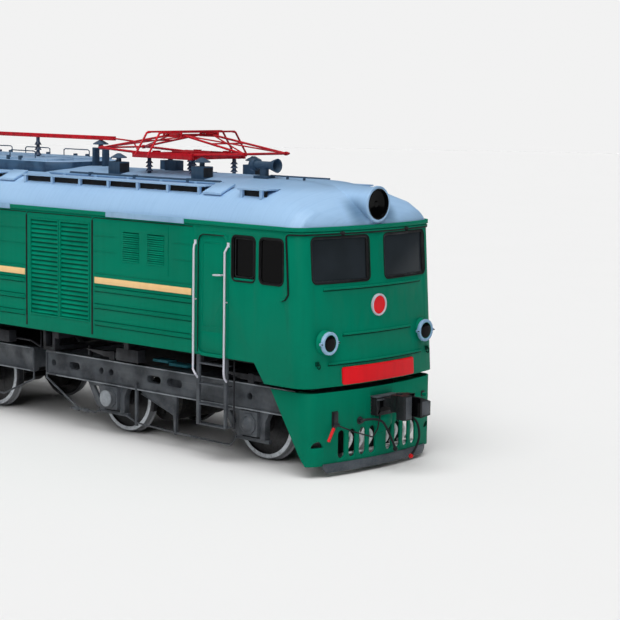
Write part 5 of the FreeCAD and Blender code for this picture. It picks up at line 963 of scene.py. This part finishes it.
def side_windows():
    """Seals and frames of the cab's side windows, and the sliding pane's own frame and sill."""
    for i, rear in enumerate(WINDOW_REARS):
        x = back(rear)
        loop = rounded_loop(x, x + WINDOW_WIDTH, WINDOW_LOW, WINDOW_HIGH, 0.085)
        both(tube(f"side_seal_{i}", *SEAL_AND_SHADE, [(u, OUT + 0.002, v) for u, v in loop], 0.013, True))
        both(pressed(f"side_frame_{i}", *SEAL_AND_SHADE, 0.488, 0.684, 0.083, 0.026, 0.012, TO_SIDE,
                     (x + WINDOW_WIDTH / 2, OUT + 0.022, 3.2), 0.003))
    x = back(WINDOW_REARS[1])
    both(block("window_sill", *PRESSING, (x + 0.04, OUT + 0.004, 2.868), (x + 0.46, OUT + 0.022, 2.900),
               0.004))
    both(pressed("sliding_frame", *SEAL_AND_SHADE, 0.40, 0.60, 0.05, 0.022, 0.010, TO_SIDE,
                 (x + 0.262, OUT + 0.016, 3.215), 0.003))


def door_details():
    """Surround on the wall; handle, kick plate and pressed line on the leaf, which swing with it."""
    x0, x1, z0, z1 = back(DOOR_REAR), back(DOOR_FRONT), DOOR_LOW, DOOR_HIGH
    middle = (x0 + x1) / 2
    both(pressed("door_surround", *PRESSING, 0.71, 1.93, 0.165, 0.055, 0.008, TO_SIDE,
                 (middle, OUT + 0.002, (z0 + z1) / 2), 0.003))
    line = ((x0 - 0.002, z0), (x0 - 0.002, z1 - 0.12), (x0 + 0.03, z1 - 0.035), (x0 + 0.10, z1),
            (x1 - 0.04, z1 + 0.002))
    both(tube("door_seal", *SEAL_AND_SHADE, [(x, OUT - 0.005, z) for x, z in line], 0.008))
    both(tube("door_edge", *PRESSING, [(x1 + 0.03, OUT - 0.002, z) for z in (z0 - 0.02, z1 + 0.03)], 0.008))
    leaf, grip = OUT + 0.010, x1 - 0.075
    for side in ("right", "left"):
        body = "door_" + side
        pieces = [
            block(f"kick_plate_{side}", body_green, body, "body_green", (x0 + 0.07, leaf - 0.004, z0 + 0.06),
                  (x1 - 0.05, leaf + 0.004, z0 + 0.33), 0.002),
            pressed(f"door_pressing_{side}", body_green, body, "body_green", 0.44, 1.30, 0.06, 0.014, 0.006,
                    TO_SIDE, (middle, leaf + 0.001, z0 + 1.06), 0.002),
            tube(f"door_handle_{side}", rail_grey, body, "rail_grey",
                 [(grip, leaf + 0.01, 2.92), (grip, leaf - 0.045, 2.92), (x1 - 0.10, leaf - 0.058, 2.92),
                  (x1 - 0.23, leaf - 0.058, 2.912)], 0.014, order=3)]
        if side == "left":
            for piece in pieces:
                copy_of(piece, piece.name + "_own", flip=True)
                bpy.data.objects.remove(piece)


# ---- roof, by distance behind the cab face
WALKWAYS, WALKWAY_EDGE, WALKWAY_TOP = ((6.99, 2.64), (12.45, 7.67), (1.83, 1.29)), 1.27, 4.235
VENTS, LIDS = (3.30, 5.29), (8.14, 9.24, 10.34)
LID_RAIL = ((0, -0.01), (0, 0.10), (0.04, 0.12), (0.66, 0.12), (0.70, 0.10), (0.70, -0.01))


def roof_details():
    """Black boards of painted shade under the walkways, a pipe beside them, vent grilles, and rails and
    hinges of the lids.
    """
    outer = WALKWAY_EDGE - 0.070
    for i, (rear, front) in enumerate(WALKWAYS):
        # Black boards under the walkways are painted shade.
        both(block(f"walkway_board_{i}", *SEAL_AND_SHADE, (back(rear), -outer, roof_z(outer) - 0.05),
                   (back(front), -outer + 0.030, WALKWAY_TOP - 0.020), 0.004))
    both(tube("walkway_pipe", *ROOF_GEAR, [(back(6.15), -0.91, 4.283), (back(2.55), -0.91, 4.283)], 0.022))
    clamp = block("pipe_clamps", *ROOF_GEAR, (back(5.66), -0.945, 4.252), (back(5.60), -0.875, 4.312), 0.006)
    both(row(clamp, "pipe_clamps", [(1.10, 0, 0), (2.35, 0, 0)]))
    for i, distance in enumerate(VENTS):
        x = back(distance) + 0.135
        both(block(f"vent_grille_{i}", *DARK_TRIM, (x - 0.003, -0.690, roof_z(0.70) + 0.035),
                   (x + 0.006, -0.490, roof_z(0.59) + 0.165), 0.002))
    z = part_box("roof_hatches")[1].z
    for i, distance in enumerate(LIDS):
        x = back(distance)
        both(tube(f"lid_rail_{i}", *ROOF_GEAR, [(x + dx, -0.62, z + dz) for dx, dz in LID_RAIL], 0.010))
        for k in (0.12, 0.45):
            both(block(f"lid_hinge_{i}_{int(k * 100)}", *ROOF_GEAR, (x + k, -0.80, z - 0.05),
                       (x + k + 0.05, -0.735, z + 0.035), 0.006))


# ---- apron
SLOTS = [sign * (0.195 + 0.215 * i) for sign in (-1, 1) for i in range(4)]
LEVER_ACROSS, LEVER_HEIGHT, BRACKET_ACROSS = -0.98, 0.785, 1.12
# Black of the painted shade behind the apron.
APRON_SHADE = (seal_black, "bogie_front", "hose_black")
APRON_WHITE = (white_paint, "bogie_front", "rail_grey")


def apron_details():
    """Black slabs of painted shade behind the apron's slots and holes, white-painted bars behind the slots,
    the lever's sleeve and the far bracket.
    """
    x = back(0.36)
    # Black slabs behind the slots and the holes paint the shade inside the apron.
    for i, y in enumerate(sorted(SLOTS)):
        block(f"slot_back_{i}", *APRON_SHADE, (x - 0.02, y - 0.104, 0.24), (x, y + 0.104, 0.72), 0.01)
        if i:
            lean, face = (0.03 if i % 2 else -0.02), apron_x(y) - 0.060
            tube(f"slot_bar_{i}", *APRON_WHITE,
                 [(face - 0.03, y - 0.05, 0.66), (face, y + lean, 0.60), (face, y + 0.05, 0.50),
                  (face, y - lean, 0.41), (face - 0.03, y - 0.06, 0.34)], 0.030, order=3)
            tube(f"slot_foot_{i}", *APRON_WHITE,
                 [(face - 0.04, y - 0.09, 0.290), (face, y, 0.310), (face - 0.03, y + 0.09, 0.300)], 0.022,
                 order=3)
    for k in (-1, 1):
        block(f"eye_back_{k + 1}", *APRON_SHADE, (x - 0.02, k * 1.28 - 0.11, 0.42), (x, k * 1.28 + 0.11, 0.58),
              0.01)
    y, z = LEVER_ACROSS, LEVER_HEIGHT
    face = apron_x(y)
    tube("lever_sleeve", handle_red, "bogie_front", "plate_red",
         [(face + 0.0523, y - 0.072, z - 0.034), (face + 0.0523, y - 0.188, z - 0.224)], 0.024)
    block("lever_plate", dark_steel, *GEAR, (face - 0.004, y - 0.060, z - 0.045),
          (face + 0.012, y + 0.060, z + 0.205), 0.003)
    y = BRACKET_ACROSS
    face = apron_x(y)
    block("far_bracket", apron_green, "bogie_front", "body_green", (face - 0.012, y - 0.020, 0.985),
          (face + 0.085, y + 0.020, 1.030), 0.008)
    block("far_bracket_foot", dark_steel, *GEAR, (face - 0.012, y - 0.045, 0.975),
          (face + 0.010, y + 0.045, 1.060), 0.003)


# ---- bogies
BEAM_LOW, BEAM_HIGH, BEAM_FACE = 0.832, 1.247, 1.180
SPRING_PLATES = ((4.02, 3.66), (3.64, 3.22))
# Each bogie's wheelsets, those with covered axle boxes, and how far its beams reach ahead of its middle.
# The first wheelset has no covers: the door steps stand too close as the bogie turns.
BOGIES = (("front", (1, 2), (2,), 2.54), ("rear", (3, 4), (3, 4), 3.00))


def bogie_details():
    """Covers on the axle boxes, a black sheet of painted shade in each bogie and pale flanges along its side
    beams.
    """
    for end, wheelsets, covered, ahead in BOGIES:
        middle = sum(v.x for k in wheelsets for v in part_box(f"wheelset_{k}")) / 4
        gear = (f"bogie_{end}", "frame_grey")
        for k in covered:
            low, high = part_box(f"wheelset_{k}")
            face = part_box(f"axle_boxes_{end}")[0].y + 0.004
            centre = ((low.x + high.x) / 2, face, (low.z + high.z) / 2)
            # The covers' pale grey is a painted highlight on their domes.
            both(turned(f"axle_cover_{k}", edge_grey, *gear, centre, (0, -1, 0),
                        ((0, 0.135), (0.016, 0.135), (0.034, 0.112), (0.044, 0.07), (0.048, 0.02)), 36))
        # A black sheet through each bogie paints the shade inside it and hides the floor.
        block(f"cable_screen_{end}", seal_black, *gear, (middle - 2.9, 0.28, 0.74),
              (middle + 2.4, 0.32, 1.36), 0.01)
        for i, z in enumerate((BEAM_LOW, BEAM_HIGH - 0.020)):
            both(block(f"beam_flange_{end}_{i}", edge_grey, *gear, (middle - 3.00, -BEAM_FACE - 0.030, z),
                       (middle + ahead, -BEAM_FACE + 0.004, z + 0.020), 0.004))


def spring_plates():
    """Two small painted plates over the front bogie's side beams."""
    for i, (rear, front) in enumerate(SPRING_PLATES):
        drop = 0.030 * i
        both(block(f"spring_plate_{i}", teal_paint, *GEAR, (back(rear), -0.98, 1.300 - drop),
                   (back(front), -0.78, 1.345 - drop), 0.006))


def coupler_details():
    """Lid, lip, ribs and rivets of the striking box, with painted shade in its mouth; painted lit faces,
    painted shade and pin of the coupler's head.
    """
    front, tip, z = apron_x(0) + 0.120, CAB_FACE + 0.8, 1.075

    def face(name, finish, x, low, high, bevel):
        move = Vector((x, 0, z))
        return block(name, finish, *GEAR, Vector(low) + move, Vector(high) + move, bevel)

    face("striker_lid", frame_grey, front, (-0.150, -0.255, 0.052), (0.015, 0.255, 0.075), 0.005)
    face("striker_lip", frame_grey, front, (-0.004, -0.250, 0.010), (0.022, 0.250, 0.034), 0.004)
    rib = face("striker_ribs", dark_steel, front, (-0.105, -0.247, -0.215), (-0.085, -0.225, 0.050), 0.003)
    row(rib, "striker_ribs", [(0.045, 0, 0), (0.090, 0, 0)])
    rivet = turned("striker_rivets", frame_grey, *GEAR, (front - 0.118, -0.234, z - 0.18), (0, -1, 0),
                   ((0, 0.009), (0.012, 0.009), (0.017, 0.004)), 10)
    row(rivet, "striker_rivets", [(0, 0, 0.052 * (k + 1)) for k in range(4)])
    # A black plate in the striking box's mouth is painted shade.
    face("striker_mouth", lens_black, front, (-0.004, -0.175, -0.165), (0.003, 0.175, -0.005), 0.002)
    # Grey plates on the head's faces that meet the light are painted light; the black plate between them is
    # painted shade.
    face("column_face", frame_grey, tip, (-0.150, -0.168, -0.222), (-0.142, -0.030, 0.112), 0.006)
    face("jaw_shade", lens_black, tip, (-0.300, 0.012, -0.190), (-0.020, 0.0212, 0.095), 0.002)
    face("arm_face", frame_grey, tip, (-0.006, 0.040, -0.165), (0.002, 0.222, 0.045), 0.006)
    turned("coupler_pin", dark_steel, *GEAR, (tip - 0.40, -0.02, z + 0.115), (0, 0, 1),
           ((0, 0.05), (0.016, 0.05), (0.024, 0.036), (0.028, 0.01)), 24)


camera()
hose("left")
hose("right")
studio()
dress_solids()
front_plates()
windscreens()
drip_rail()
front_beads()
lamps_and_hooks()
headlight_details()
side_details()
louvre_details()
rain_strips()
side_windows()
door_details()
roof_details()
apron_details()
bogie_details()
spring_plates()
coupler_details()
